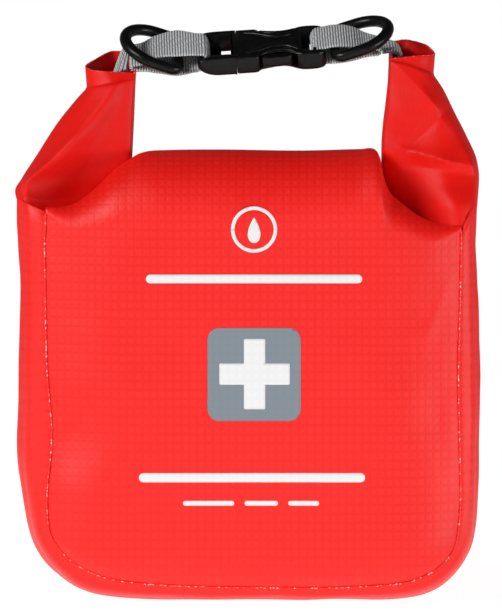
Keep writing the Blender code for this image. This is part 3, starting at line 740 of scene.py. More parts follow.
# Each ring of an ear, from its hidden foot to its open tip: outer edge, front beside it, ridge,
# front face, inner front edge, inner back edge, back face and back beside the outer edge.
LEFT_EAR = [
    [(-88, 0, 150), (-85, -15, 150), (-79, -18, 150), (-64, -7, 150),
     (-47, -1, 152), (-47, 18, 154), (-64, 22, 152), (-84, 16, 150)],
    [(-91.9, 0, 160.4), (-89.5, -14, 157), (-86, -17, 157), (-66, -6.5, 158),
     (-46.8, -4, 163), (-46.8, 17, 164), (-66, 23, 160), (-87.5, 14, 158)],
    [(-89.3, 0, 165.6), (-88.6, -12, 163.4), (-86.6, -17.5, 163.6), (-65, -8.5, 166.5),
     (-46.3, -6, 170), (-46.2, 17.5, 171), (-64, 23, 168), (-86, 13, 164)],
    [(-83, 2, 175.4), (-79.6, -8.5, 175.4), (-73.4, -16, 175.6), (-60, -10, 177),
     (-46, -6.5, 178), (-45.8, 18, 179), (-60, 22.5, 178), (-78.5, 13, 176)],
    [(-75.4, 3, 187.2), (-72, -6.5, 187), (-63.4, -13.4, 186.8), (-54.5, -9.6, 187.6),
     (-45.7, -6.5, 188), (-45.3, 18, 189), (-56, 22.5, 189), (-71.5, 13, 187.6)],
    [(-67.4, 4, 197.2), (-64.6, -5.5, 197), (-55.6, -11, 197), (-50, -9, 197.2),
     (-45.1, -6.5, 197.6), (-44.9, 18, 199), (-53, 22, 199), (-63.6, 13, 198)],
    [(-64.2, 4.5, 200.8), (-61.8, -5.2, 201), (-53.4, -9.4, 202.4), (-48.6, -8.2, 203.6),
     (-44.8, -6.6, 204.4), (-44.6, 18, 205), (-51.5, 22, 205), (-60.4, 13, 202.8)],
    [(-63.8, 4.5, 201.8), (-61.4, -4.4, 202), (-53.6, -8.2, 203.4), (-48.6, -7.4, 204.4),
     (-44.6, -6.5, 204.9), (-44.5, 18, 206.6), (-51.6, 21.8, 206.6), (-60.2, 13, 204)],
    [(-64.4, 5, 209.7), (-62.8, -2.6, 208.4), (-55.5, -6.8, 207.6), (-50, -6.2, 207.4),
     (-44.4, -5.6, 207), (-44.2, 17, 215), (-53.2, 21.5, 215.4), (-60.4, 13, 212.4)],
]
RIGHT_EAR = [
    [(89, 0, 147), (87.5, -20, 146), (82, -24.4, 145), (66, -10, 146),
     (53, 4, 152), (53, 18, 154), (66, 23, 152), (85, 16, 150)],
    [(90.2, 0, 157), (88.6, -18, 156), (81, -23, 155), (66, -11.5, 155),
     (53, 1, 162), (53, 17, 163), (68, 24, 160), (87, 15, 157)],
    [(90.8, 0, 166), (88.4, -14.5, 165.6), (78, -17, 165), (65, -10.5, 165),
     (52.6, -3, 171), (52.6, 17, 172), (67, 24, 169), (86.5, 14, 166)],
    [(90, 1, 172.6), (87, -13.4, 172), (77, -14.6, 172.5), (64, -11, 173),
     (52.6, -6.5, 178), (52.7, 18, 179), (66, 23.5, 177), (85.5, 13, 173)],
    [(85.9, 2, 182.3), (82.6, -9.6, 181.6), (74, -12, 181.4), (64, -10.5, 181.4),
     (53, -6.5, 185), (53.2, 18, 186), (65, 23, 185), (81, 13, 183)],
    [(81.4, 3, 191.2), (78.4, -7.4, 191), (72.5, -11.4, 191), (63.5, -11, 190.5),
     (54, -6.5, 193.4), (54.2, 18, 194.4), (64, 22.5, 193), (77.4, 13, 191.8)],
    [(76.8, 4, 200.6), (74.4, -5.8, 200.2), (67.5, -10, 201), (61, -9.2, 201.6),
     (55, -6.5, 203), (55.2, 18, 204), (62, 22, 203), (73.4, 13, 201.6)],
    [(73.2, 4.5, 206.2), (71.4, -5.2, 206.8), (66.2, -8.8, 208.6), (60.6, -8.2, 210.4),
     (55.7, -6.8, 211.4), (55.5, 18, 211), (61, 22, 209.8), (70, 13, 207.5)],
    [(73, 4.5, 207.2), (71, -4.4, 207.8), (66, -7.6, 209.7), (60.6, -7.2, 211.4),
     (55.8, -6.6, 212), (55.5, 18, 212.4), (61, 21.8, 211.4), (69.8, 13, 208.8)],
    [(73.6, 5, 214.6), (72.2, -2.6, 214), (66, -6.8, 213.8), (60.5, -6.8, 213.2),
     (55.9, -6.2, 212.8), (55.8, 17, 218.3), (62, 21.8, 219.9), (70.6, 12, 217.8)],
]

# The folds on the front of each ear: depth outwards, from, to, width and fade past the ends.
LEFT_FOLDS = [
    (0.9, (-86, 166), (-68, 182), 2.2, 6),
    (0.8, (-68, 182), (-52, 202), 2.2, 6),
    (-1.2, (-90, 160), (-80, 156.5), 1.8, 4),
]
RIGHT_FOLDS = [
    (1.5, (62, 206), (71, 197), 2.6),
    (1.1, (71, 197), (75.4, 190), 2.2, 5),
    (-2.4, (75.4, 190.5), (63, 178.4), 2.4, 4),
    (2.2, (62.5, 177), (78, 173), 2.6, 4),
    (1.4, (78, 173), (89, 170.6), 2.4, 4),
    (-1.3, (64, 171.5), (86, 167.5), 3.2, 5),
]


def steady_through(points, closed=False):
    """A curve through points that never swings wider than they do, for t from 0 to 1."""
    count = len(points)
    steps = [points[(k + 1) % count] - points[k] for k in range(count)]
    slopes = []
    for k in range(count):
        before, after = steps[k - 1], steps[k]
        both = [2 * a * b / (a + b) if a * b > 0 else 0 for a, b in zip(before, after)]
        slopes.append(Vector(both))
    if not closed:
        slopes[0], slopes[-1] = steps[0], steps[-2]
    spans = count if closed else count - 1

    def at(t):
        place = (t % 1 if closed else clamp(t)) * spans
        k = min(int(place), spans - 1)
        t = place - k
        point = points[k] + steps[k] * (t * t * (3 - 2 * t))
        point += slopes[k] * (t * (1 - t) ** 2)
        return point - slopes[(k + 1) % count] * (t * t * (1 - t))

    return at


def ear_surface(rings, folds):
    """Points over an ear: u runs round it and v from foot to tip."""
    sides = len(rings[0])
    lines = [steady_through([Vector(ring[k]) for ring in rings]) for k in range(sides)]

    def at(u, v):
        ring = steady_through([line(v) for line in lines], True)
        point = ring(u)
        front = clamp((2 - point.y) / 12)
        ripple = noise.noise(point / 19) * 0.35 + noise.noise(point / 7) * 0.05
        steady = clamp((1 - v) * 8)
        point.y -= front * (folded(point.x, point.z, folds) + ripple) * steady
        point.y += (1 - front) * ripple * 0.8 * steady
        return point

    return at


JOINTS = {joint["name"]: joint for joint in frame["joints"]}
EAR_BEND = (-13, 12)


def pivot_of(joint):
    return Vector(JOINTS[joint]["pos_m"])


def axis_of(joint):
    return Vector(JOINTS[joint]["axis"]).normalized()


def make_ear(side, rings, folds):
    surface = ear_surface(rings, folds)
    name = f"{side}_ear"
    ear = add_sheet(f"{name}_cloth", 112, 96, surface, lambda u, v: (110 * u, 64 * v), True)
    if side == "right":
        ear.data.flip_normals()
    thicken(ear, EAR_FABRIC, rim=0.3)
    finish_piece(ear, None, "tarpaulin", SMOOTH_SHADED_TARPAULIN, name)
    low, high = (tuple(pivot_of(f"{name}_swing") + Vector((0, 0, z * MM))) for z in EAR_BEND)
    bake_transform(ear)
    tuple(low)
    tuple(high)

    def lip(t):
        point = surface(t, 1)
        ahead = (surface((t + 0.004) % 1, 1) - surface((t - 0.004) % 1, 1)).normalized()
        up = (point - surface(t, 0.99)).normalized()
        inward = ahead.cross(up) * (-1 if side == "right" else 1)
        return point - inward * (EAR_FABRIC / 2) - up * 0.1, up, inward

    edge = edge_strip(f"{name}_lip", lip, 0.3, 0.75, 240)
    finish_piece(edge, name, "tarpaulin", CUT_EDGE)


def spiral(turns, flat, growth=1.3, steps=30):
    """Points of a flattened spiral that grows with each turn, from its core outwards."""
    points = []
    for k in range(int(turns * steps) + 1):
        angle = 2 * pi * k / steps
        grow = growth + growth * k / steps
        points.append(((flat + grow) * cos(angle), (0.4 + grow) * sin(angle)))
    return points


ROLL_Z = 167


def make_roll(node, body, axis, turns, flat, rows, width):
    """Cloth rolled up in a flattened spiral, along one axis of its CAD node's box."""
    low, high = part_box(node)
    middle = (low + high) / 2 / MM
    length = (high[axis] - low[axis]) / MM
    section = spiral(turns, flat)
    last = len(section) - 1

    def place(u, v):
        a, b = section[round(u * last)]
        along = low[axis] / MM + v * length
        if axis == 2:
            return Vector((middle.x + b, middle.y + a, along))
        sag = 0.5 * lump(along / 12, a / 6, 2)
        return Vector((along, middle.y + a, ROLL_Z + b * (1 + 0.05 * sag) + 0.3 * sag))

    roll = add_sheet(f"{node}_cloth", last, rows, place, lambda u, v: (width * u, length * v))
    thicken(roll, offset=0, rim=0)
    finish_piece(roll, body, "tarpaulin", TARPAULIN, node)
    wound = sum(dist(a, b) for a, b in zip(section, section[1:]))


# ---------------------------------------------------------------- prints on the front

BADGE = ((2.2, 90.4), 36.2, 4.6)
CROSS_LENGTH = 27.4
CROSS_WIDTH = 8.3


def front_y(x, z):
    """The front's Y at a point of its flat part, found by walking the sheet's own grid."""
    u = (x - RIM[0][0]) / (RIM[-1][0] - RIM[0][0])
    t = (z - SEAM_FOOT) / (CREST_Z(x) - BEND(x) - SEAM_FOOT)
    for _ in range(12):
        here = patch(u, t)
        u += (x - here.x) / FRONT_WIDTH
        t += (z - here.y) / FRONT_HEIGHT
    return -front_depth(u, t, x, z)


def add_print(name, outline, lift=PRINT_LIFT, material=INK_WHITE, slot="print_white", step=1.2):
    """A print: an outline filled with a fine grid and laid on the front's own surface."""

    def draw(bm):
        bm.faces.new([bm.verts.new((x, 0, z)) for x, z in outline])
        for axis, places in ((0, [p[0] for p in outline]), (2, [p[1] for p in outline])):
            at, normal = min(places) + step, Vector((axis == 0, 0, axis == 2))
            while at < max(places) - 0.01:
                geometry = bm.verts[:] + bm.edges[:] + bm.faces[:]
                bmesh.ops.bisect_plane(bm, geom=geometry, plane_co=normal * at, plane_no=normal)
                at += step
        for vert in bm.verts:
            vert.co.y = front_y(vert.co.x, vert.co.z) - lift
        bmesh.ops.recalc_face_normals(bm, faces=bm.faces)
        if sum(face.normal.y for face in bm.faces) > 0:
            bmesh.ops.reverse_faces(bm, faces=bm.faces)
        layer = bm.loops.layers.uv.new("cloth")
        for face in bm.faces:
            face.smooth = True
            for loop in face.loops:
                loop[layer].uv = (loop.vert.co.x, loop.vert.co.z)
        bmesh.ops.scale(bm, vec=(MM, MM, MM), verts=bm.verts)

    obj = thicken(draw_mesh(name, draw), lift + 0.05, rim=0)
    finish_piece(obj, "bag", slot, material)


def rounded_box(centre, width, height, radius, steps=6):
    """The outline of a rounded rectangle."""
    points = []
    corners = ((1, 1, 0), (-1, 1, 0.5), (-1, -1, 1), (1, -1, 1.5))
    for sx, sz, start in corners:
        cx = centre[0] + sx * (width / 2 - radius)
        cz = centre[1] + sz * (height / 2 - radius)
        for k in range(steps + 1):
            angle = pi * (start + 0.5 * k / steps)
            points.append((cx + radius * cos(angle), cz + radius * sin(angle)))
    return points


def cross_outline(centre, length, width):
    """The outline of an equal-armed cross with barely rounded corners."""
    a, b, r = length / 2, width / 2, 0.35
    arm = [(a, r - b), (a, b - r), (a - r, b), (b, b), (b, a - r)]
    points = []
    for turn in range(4):
        c, s = round(cos(pi * turn / 2)), round(sin(pi * turn / 2))
        points += [(centre[0] + x * c - z * s, centre[1] + x * s + z * c) for x, z in arm]
    return points


def drop_outline(centre, size, steps=28):
    """The outline of a droplet that stands on its round end."""
    points = []
    for k in range(steps):
        angle = 2 * pi * k / steps
        narrow = (1 - sin(angle)) / 2
        x = size * 0.62 * cos(angle) * (0.15 + 0.85 * narrow**0.6)
        points.append((centre[0] + x, centre[1] + size * sin(angle) * 0.95))
    return points


def arc_points(centre, radius, angles):
    return [(centre[0] + radius * cos(a), centre[1] + radius * sin(a)) for a in angles]


def ring_halves(centre, outer, inner, steps=24):
    """A ring as two half-ring outlines that just overlap."""
    halves = []
    for start in (0, 1):
        arc = [pi * (start - 0.01 + 1.02 * k / steps) for k in range(steps + 1)]
        halves.append(arc_points(centre, outer, arc) + arc_points(centre, inner, arc)[::-1])
    return halves


EMBLEM = (2.2, 146.8)
BARS = {
    "name_bar_print": ((2.2, 127.6), 84, 3.4),
    "title_bar_print": ((1.4, 50.2), 88, 3.6),
    "note_bar_print_1": ((-15.5, 40.2), 20, 1.9),
    "note_bar_print_2": ((5, 40.2), 13, 1.9),
    "note_bar_print_3": ((21.5, 40.2), 12, 1.9),
}


def make_prints():
    centre, size, radius = BADGE
    badge = rounded_box(centre, size, size, radius)
    add_print("badge_grey_print", badge, PRINT_LIFT, INK_GREY, "print_grey")
    cross = cross_outline((centre[0] + 0.2, centre[1] + 0.2), CROSS_LENGTH, CROSS_WIDTH)
    add_print("badge_cross_print", cross, PRINT_LIFT + 0.1)
    for k, half in enumerate(ring_halves(EMBLEM, 9, 7.6)):
        add_print(f"emblem_ring_print_{k + 1}", half, step=1.5)
    add_print("emblem_drop_print", drop_outline((EMBLEM[0], EMBLEM[1] - 0.3), 5.2))
    for name, (middle, width, height) in BARS.items():
        add_print(name, rounded_box(middle, width, height, height / 2))


# ---------------------------------------------------------------- handle


ORIGIN_ALONG = 0.05


def handle_frame():
    """The handle's own frame, from the axes of its joints."""
    axes = [axis_of(j) for j in ("left_strap_lean", "left_d_ring_swing", "latch_front_press")]
    matrix = Matrix(axes).transposed().to_4x4()
    matrix.translation = pivot_of("left_strap_lean") + axes[0] * ORIGIN_ALONG
    return matrix


HANDLE = handle_frame()
TO_HANDLE = HANDLE.inverted()
STRAP_WIDTH = 20
STRAP = 1.3
RING_WIRE = 2.3
RING_WIDTH = 30.5
RING_LENGTH = 26.5
RING_CORNER = 3.5
RING_RAISE = {"left": radians(24), "right": radians(-15)}
BUCKLE_BAR = {"left": -18.5, "right": 27.9}
SEW_END = {"left": -45.6, "right": 50.8}
TAIL_TURN = {"left": -52.5, "right": 60}
BAR_RADIUS = 1.7
ARCH = {"left": 1.8, "right": 0.5}
OUTER_TILT = {"left": 0, "right": -0.24}
TAIL_TILT = {"left": 0.14, "right": 0}
TAIL_SAG = {"left": 0, "right": 2.4}
TAIL_SKEW = {"left": 0.22, "right": 0}
ROLL = {"left": radians(4.5), "right": 0}
THREAD_SEEDS = {"left": (2, 11), "right": (5, 17)}
CLEAR = 0.3
SEW_GAP = 0.8
FRAY_Y = -10.2
INWARDS = {"left": 1, "right": -1}


def bar_x(side):
    """Where a D-ring's bar crosses the strap, along the handle."""
    return (TO_HANDLE @ pivot_of(f"{side}_d_ring_swing")).x / MM


def resample(points, step):
    """Points a step apart along a line of points, with the unit normal at each."""
    lengths = [0]
    for a, b in zip(points, points[1:]):
        lengths.append(lengths[-1] + (b - a).length)
    count = max(2, round(lengths[-1] / step))
    found, k = [], 0
    for i in range(count + 1):
        target = lengths[-1] * i / count
        while k < len(points) - 2 and lengths[k + 1] < target:
            k += 1
        share = (target - lengths[k]) / max(1e-9, lengths[k + 1] - lengths[k])
        found.append(mix(points[k], points[k + 1], share))
    normals = []
    for i in range(count + 1):
        ahead = found[min(count, i + 1)] - found[max(0, i - 1)]
        normals.append(Vector((-ahead.y, ahead.x)).normalized())
    return found, normals, lengths[-1]


def ribbed_strap(name, points, cyclic, slope, skew=None):
    """Webbing along (x, z) points in the handle's frame, sloping across, with ribs in relief."""
    path, normals, length = resample(points, RIB / 5)
    ribs = round(length / RIB)
    rows = len(path) - 1
    if cyclic:
        normals[0] = normals[-1] = (normals[0] + normals[-1]).normalized()
    around = 26

    def place(u, v):
        k = round(v * rows)
        swell_up = 0.16 * cos(2 * pi * ribs * v + pi)
        half, thick = STRAP_WIDTH / 2 + 0.5 * swell_up, STRAP / 2 + swell_up
        angle = 2 * pi * u
        across = copysign(abs(cos(angle)) ** 0.45, cos(angle)) * half
        lift = copysign(abs(sin(angle)) ** 0.35, sin(angle)) * thick
        across += 0.12 * lump(v * length / 2, across, 3)
        point = path[k] + normals[k] * lift
        aside = across * skew(point.x) if skew else 0
        return Vector((point.x + aside, across, point.y + across * slope(point.x)))

    def flat(u, v):
        return 42 * u, RIB * ribs * v

    strap = add_sheet(name, around, rows, place, flat, around=True, cyclic=cyclic, matrix=HANDLE)
    strap["cut_length"] = length * MM
    return recalculate(strap) if cyclic else close_ends(strap, around)


def close_ends(obj, around):
    """Cap the two ends of a tube made by add_sheet, and turn every face outwards."""

    def fill(bm):
        bmesh.ops.holes_fill(bm, edges=[e for e in bm.edges if e.is_boundary], sides=around)

    return recalculate(edit_mesh(obj, fill))


def outer_share(side, x):
    """0 up to the D-ring's bar, rising to 1 where the tail turns into the ear."""
    start = abs(bar_x(side)) + 2
    return ease(clamp((abs(x) - start) / (abs(TAIL_TURN[side]) - start)))


def sagged(side, points):
    """Strap points let down by the sag of the strap's outer end."""
    return [Vector((p.x, p.y - TAIL_SAG[side] * outer_share(side, p.x))) for p in points]


def loop_points(side):
    """The webbing loop's line: from the sewn end over the ring's bar and round the buckle's."""
    sign = INWARDS[side]
    over_ring = RING_WIRE + CLEAR + STRAP / 2
    over_bar = BAR_RADIUS + CLEAR + STRAP / 2
    sew, ring, bar = SEW_END[side], bar_x(side), BUCKLE_BAR[side]
    top = curve_through(
        [(sew, 1.15), (sew + sign * 5, 1.5), (mix(sew, ring, 0.55), 2.5),
         (ring - sign * 2, over_ring), (ring + sign * 2, over_ring), (bar, over_bar)]
    )
    lower = [top(k / 40) for k in range(41)]
    upper = []
    for point in lower:
        rising = ease(clamp((abs(point.x - sew) - 2) / 8))
        falling = 1 - 0.3 * ease(clamp((point.x - ring) / (bar - ring)))
        upper.append(point + Vector((0, ARCH[side] * rising * falling)))
    turn = []
    for k in range(1, 24):
        angle = pi * (0.5 - k / 24)
        rise = over_bar + 0.7 * ARCH[side] * ease(clamp(sin(angle)))
        turn.append(Vector((bar + sign * over_bar * cos(angle), rise * sin(angle))))
    under = [Vector((p.x, -p.y)) for p in reversed(lower)]
    end = [Vector((sew - sign * SEW_GAP, z)) for z in (-0.7, 0.7)] + [upper[0]]
    return sagged(side, upper + turn + under + end)


def tail_points(side):
    """The strap's line from inside the ear's tip to its sewn end."""
    sign = INWARDS[side]
    turn = TAIL_TURN[side]
    start = SEW_END[side] - sign * (SEW_GAP + STRAP / 2 + CLEAR)
    line = curve_through(
        [(turn, -9), (turn, -5), (turn + sign * 1.2, -1.5), (turn + sign * 3.4, 0), (start, 0)]
    )
    return sagged(side, [line(k / 60) for k in range(61)])


def add_threads(name, body, spots, length, seed, thick):
    """Loose yarn ends: thin tapered fibres that stand up from the given points."""
    points, faces = [], []
    sides, steps = 5, 4
    for k, spot in enumerate(spots):
        lean = Vector((lump(k * 1.7, seed, 0.3), lump(k * 2.3, seed, 7), 0))
        tall = length * (0.6 + 0.6 * abs(lump(k * 3.1, 1, seed)))
        faces += tube_faces(len(points), steps + 1, sides)
        for step in range(steps + 1):
            t = step / steps
            middle = spot + Vector((0, 0, tall * t)) + lean * (tall * t * t)
            radius = thick * (1 - 0.7 * t)
            for i in range(sides):
                angle = 2 * pi * i / sides
                points.append(middle + Vector((cos(angle), sin(angle), 0)) * radius)
    finish_piece(add_mesh(name, points, faces, matrix=HANDLE), body, "webbing", WEBBING)


def ring_line(side):
    """The centre line of a D-ring lying flat, with its bar on the Y axis."""
    sign = -INWARDS[side]
    half = RING_WIDTH / 2 - RING_WIRE
    leg = RING_LENGTH - 2 * RING_WIRE - half
    path = []
    for k in range(41):
        angle = pi * (k / 40 - 0.5)
        path.append((sign * (leg + half * cos(angle)), half * sin(angle)))
    for centre_y, start in ((half - RING_CORNER, 0.5), (RING_CORNER - half, 1)):
        for k in range(9):
            angle = pi * (start + k / 16)
            x = RING_CORNER + RING_CORNER * cos(angle)
            path.append((sign * x, centre_y + RING_CORNER * sin(angle)))
    return path


def make_d_ring(side):
    curve = bpy.data.curves.new(f"{side}_ring_line", "CURVE")
    curve.dimensions = "3D"
    curve.bevel_depth = RING_WIRE * MM
    curve.bevel_resolution = 6
    path = ring_line(side)
    spline = curve.splines.new("POLY")
    spline.points.add(len(path) - 1)
    for point, (x, y) in zip(spline.points, path):
        point.co = (x * MM, y * MM, 0, 1)
    spline.use_cyclic_u = True
    wire = put(f"{side}_ring_line", curve)
    evaluated = wire.evaluated_get(bpy.context.evaluated_depsgraph_get())
    mesh = bpy.data.meshes.new_from_object(evaluated)
    bpy.data.objects.remove(wire)
    shade_smooth(mesh)
    bar = Matrix.Translation(Vector((bar_x(side) * MM, 0, 0)))
    turn = Matrix.Rotation(ROLL[side], 4, "X") @ Matrix.Rotation(RING_RAISE[side], 4, "Y")
    mesh.transform(HANDLE @ bar @ turn)
    ring = put(f"{side}_d_ring_moulded", mesh)
    finish_piece(ring, f"{side}_ring", "black_acetal", ACETAL, f"{side}_d_ring")


def make_strap(side):
    def slope(x):
        reach = abs(BUCKLE_BAR[side] - bar_x(side)) * 0.9
        roll = tan(ROLL[side]) * ease(clamp(1 - abs(x - bar_x(side)) / reach))
        return roll + OUTER_TILT[side] * outer_share(side, x)

    loop = ribbed_strap(f"{side}_webbing_loop_ribbed", loop_points(side), True, slope)
    finish_piece(loop, f"{side}_strap", "webbing", WEBBING, f"{side}_webbing_loop")

    def tail_share(x):
        return clamp((abs(x) - abs(SEW_END[side])) / 4)

    def tail_slope(x):
        return slope(x) + TAIL_TILT[side] * tail_share(x)

    def tail_skew(x):
        return TAIL_SKEW[side] * tail_share(x)

    points = tail_points(side)
    tail = ribbed_strap(f"{side}_strap_tail_ribbed", points, False, tail_slope, tail_skew)
    finish_piece(tail, None, "webbing", WEBBING, f"{side}_strap_tail")
    sign = INWARDS[side]
    exit_x = (TO_HANDLE @ pivot_of(f"{side}_strap_lean")).x
    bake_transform(tail)
    under = -(RING_WIRE + CLEAR + STRAP)
    first = bar_x(side) + sign * 2.5
    spots = [Vector((first + sign * 0.55 * k, -10.1, under + 0.4)) for k in range(10)]
    seed, tail_seed = THREAD_SEEDS[side]
    add_threads(f"{side}_strap_fray", f"{side}_strap", spots, 3, seed, 0.11)
    spots = [
        Vector((p.x + FRAY_Y * tail_skew(p.x), FRAY_Y, p.y + FRAY_Y * tail_slope(p.x) - 0.7))
        for p in points[20:]
    ]
    add_threads(f"{side}_tail_fray", f"{side}_tail", spots, 2.6, tail_seed, 0.17)


# ---------------------------------------------------------------- buckle

TOP = 3.4
BOTTOM = -4.2
WIDE = 13.2
BAR_LENGTH = 23.2


def inset(outline, distance):
    """The outline moved inwards, along the mean normal of each corner."""
    count = len(outline)
    area = sum(a[0] * b[1] - b[0] * a[1] for a, b in zip(outline, outline[1:] + outline[:1]))
    moved = []
    for k, here in enumerate(outline):
        point = Vector(here)
        before = (point - Vector(outline[k - 1])).normalized()
        after = (Vector(outline[(k + 1) % count]) - point).normalized()
        ahead = (before + after).normalized()
        inward = Vector((-ahead.y, ahead.x)) * (1 if area > 0 else -1)
        stretch = min(1.6, 1 / max(0.2, ahead.dot(after)))
        moved.append(point + inward * (distance * stretch))
    return moved


def moulded(name, outline, low, high, radius, steps=5):
    """A moulded plate: an outline in X and Y between two heights, with rounded rims."""
    levels = [(low, 0), (high, 0)]
    if radius:
        arc = [pi / 2 * k / steps for k in range(steps + 1)]
        rims = ((low, radius), (high, -radius))
        levels = sorted(
            (z + r * (1 - sin(a)), abs(r) * (1 - cos(a))) for z, r in rims for a in arc
        )
    points = [(x, y, z) for z, inwards in levels for x, y in inset(outline, inwards)]
    n = len(outline)
    last = len(points) - n
    faces = [tuple(range(n)), tuple(range(last, last + n))]
    for start in range(0, last, n):
        for k in range(n):
            a, b = start + k, start + (k + 1) % n
            faces.append((a, b, b + n, a + n))
    return recalculate(add_mesh(name, points, faces))


def block(low, high):
    outline = [(low[0], low[1]), (high[0], low[1]), (high[0], high[1]), (low[0], high[1])]
    return moulded("block", outline, low[2], high[2], 0)


def shape(obj, operation, *slabs):
    """Cut slabs from a moulding or join them on: x from, x to, half width, z from, z to."""
    for start, stop, half, low, high in slabs:
        combine(obj, block((start, -half, low), (stop, half, high)), operation)


def cylinder(centre, radius, length, axis, steps=40):
    """A round bar along Y or Z."""

    def draw(bm):
        ends = {"radius1": radius, "radius2": radius}
        bmesh.ops.create_cone(bm, cap_ends=True, segments=steps, depth=length, **ends)
        if axis == "Y":
            bmesh.ops.rotate(bm, matrix=Matrix.Rotation(pi / 2, 3, "X"), verts=bm.verts)
        bmesh.ops.translate(bm, vec=centre, verts=bm.verts)
        bmesh.ops.scale(bm, vec=(MM, MM, MM), verts=bm.verts)

    return draw_mesh("cylinder", draw)


def rod_along(name, points, radius, ends):
    """A smooth raised rib that follows points, a little flattened and tapering at its ends."""
    line = curve_through(points)
    up, flat, sides = Vector((0, 0, 1)), 0.85, 12

    def place(u, v):
        ahead = (line(min(1, v + 0.01)) - line(max(0, v - 0.01))).normalized()
        side = ahead.cross(up).normalized()
        size = radius * (ends + (1 - ends) * sin(pi * v) ** 0.5)
        angle = 2 * pi * u
        return line(v) + side * (size * cos(angle)) + up * (size * flat * sin(angle))

    return close_ends(add_sheet(name, sides, 40, place, lambda u, v: (u, v), around=True), sides)


def mirrored(outline):
    return outline + [(x, -y) for x, y in reversed(outline)]


def smooth_outline(points, steps=4):
    line = curve_through(points)
    count = steps * (len(points) - 1)
    return [tuple(line(k / count)) for k in range(count + 1)]


def finish_moulding(obj, name, body, node):
    """Move a moulding to the handle, smooth it but for its real corners, and put it on its body."""
    obj.name = name
    obj.data.transform(HANDLE)
    shade_smooth(obj.data)
    obj.data.set_sharp_from_angle(angle=radians(38))
    finish_piece(obj, body, "black_acetal", ACETAL, node)


def round_back(bm):
    """Draw the back of the male half's two rails up and in, like the stern of a boat."""
    bmesh.ops.triangulate(bm, faces=bm.faces)
    for vertex in bm.verts:
        back = clamp((-11.5 - vertex.co.x / MM) / 8.8)
        vertex.co.z *= 1 - (0.8 * back ** 2.4 if vertex.co.z < 0 else 0.38 * back ** 3)


def make_male():
    outer, face, slot, shelf = -20.3, -5.3, -7, -2.6
    wide, narrow = 10.8, 9.8
    corner = [(outer, 10.2), (outer + 0.6, 12), (outer + 2.2, 13), (-12, WIDE)]
    half = smooth_outline(corner, 5) + [(face, WIDE)]
    male = moulded("male", mirrored(half), BOTTOM, TOP, 0.9)
    shape(
        male,
        "DIFFERENCE",
        (outer - 3, -15, wide, shelf, 9),
        (outer - 3, -16, wide, -9, shelf + 0.1),
        (-16, -10.6, narrow, shelf, 9),
        (-10.8, slot, narrow, -9, 9),
        (-6.5, face + 1, 10.4, 1.7, 9),
    )
    soften(male, 0.4, 60)
    settle_modifiers(male)
    combine(male, cylinder((BUCKLE_BAR["left"], 0, 0), BAR_RADIUS, BAR_LENGTH, "Y"), "UNION")
    plates = ((face - 1, -3.4, 10.1, -2.3, 1.5), (face - 0.3, -4.85, 13.05, -4.1, 1.6))
    shape(male, "UNION", *plates)
    for low, high in ((-13.05, -10.5), (10.5, 13.05)):
        combine(male, block((face - 0.3, low, 1.5), (-4.85, high, 3.1)), "UNION")
    tongue = moulded("tongue", mirrored([(face - 1, 3), (12, 3), (13.6, 1.6)]), -1.5, 1.5, 0.4, 2)
    combine(male, tongue, "UNION")
    edit_mesh(male, round_back)
    finish_moulding(male, "buckle_male_moulded", "left_strap", "buckle_male")


def make_female():
    mouth, end = -4.8, 30.5
    start, stop = 4.1, 19.2
    side = [
        (-1, WIDE), (3.2, WIDE - 0.2), (5.2, WIDE - 2.4), (8.6, 9.6),
        (12.4, 8.7), (15.6, 9.6), (18.6, 11.9), (21.4, WIDE), (26.6, WIDE), (29.4, WIDE - 1.4),
        (end, WIDE - 3.4),
    ]
    half = [(mouth, WIDE)] + smooth_outline(side, 4)
    female = moulded("female", mirrored(half), BOTTOM, TOP, 1.3)
    shape(
        female,
        "DIFFERENCE",
        (mouth - 3, stop, 10.6, -2.7, 2.5),
        (start, stop, 20, -2.7, 2.5),
        (21, 25, 9.8, -1.6, 9),
        (24.2, end + 3, 10.8, -9, 9),
    )
    brow = mirrored([(-6.2, 0), (-6.2, 8.6), (-5.4, 9.9), (mouth + 1, 10.1)])
    combine(female, moulded("brow", brow, 2, TOP - 0.1, 0.35, 2), "UNION")
    soften(female, 0.4, 60)
    settle_modifiers(female)
    combine(female, cylinder((BUCKLE_BAR["right"], 0, 0), BAR_RADIUS, BAR_LENGTH, "Y"), "UNION")
    waist = [(-1.4, 9.4, 0.05), (3.4, 8, 0), (8.6, 4.9, 0), (12.4, 4.3, 0), (16.2, 5.6, 0),
             (19.6, 8.8, 0.05)]
    arch = [(4.6, 11.2, 0.6), (7.4, 9, 0.3), (12, 7.9, 0.2), (16.4, 9, 0.3), (19, 11.4, 0.6)]
    for sign in (-1, 1):
        for name, ridge, radius, ends in (("rib", waist, 1.15, 0.3), ("arch", arch, 0.9, 0.4)):
            points = [(x, sign * y, TOP - down) for x, y, down in ridge]
            combine(female, rod_along(name, points, radius, ends), "UNION")
    for x, y in ((-1.9, -0.4), (10, 0.6), (12.4, 0.6), (19, 0.9), (26, -9.6)):
        combine(female, cylinder((x, y, TOP), 0.62, 0.7, "Z", 20), "UNION")
    finish_moulding(female, "buckle_female_moulded", "right_strap", "buckle_female")


def make_latch(side, sign):
    """A latch arm with its smooth thumb pad, which shows in the female half's side window."""
    root = -4.9
    inner = [(root, 5.1), (3, 6.1), (8, 9), (16, 8.6), (18.4, 8)]
    outer = [(17.6, 10.6), (15.6, 12.2), (11.6, 12.7), (8, 12.7), (5.4, 12.3), (4.6, 10.6),
             (3.8, 8.8), (root, 7.7)]
    arm = moulded("arm", [(x, sign * y) for x, y in inner + outer], -2.2, 2.1, 0.6, 3)
    finish_moulding(arm, f"latch_arm_{side}_moulded", f"latch_{side}", f"latch_arm_{side}")


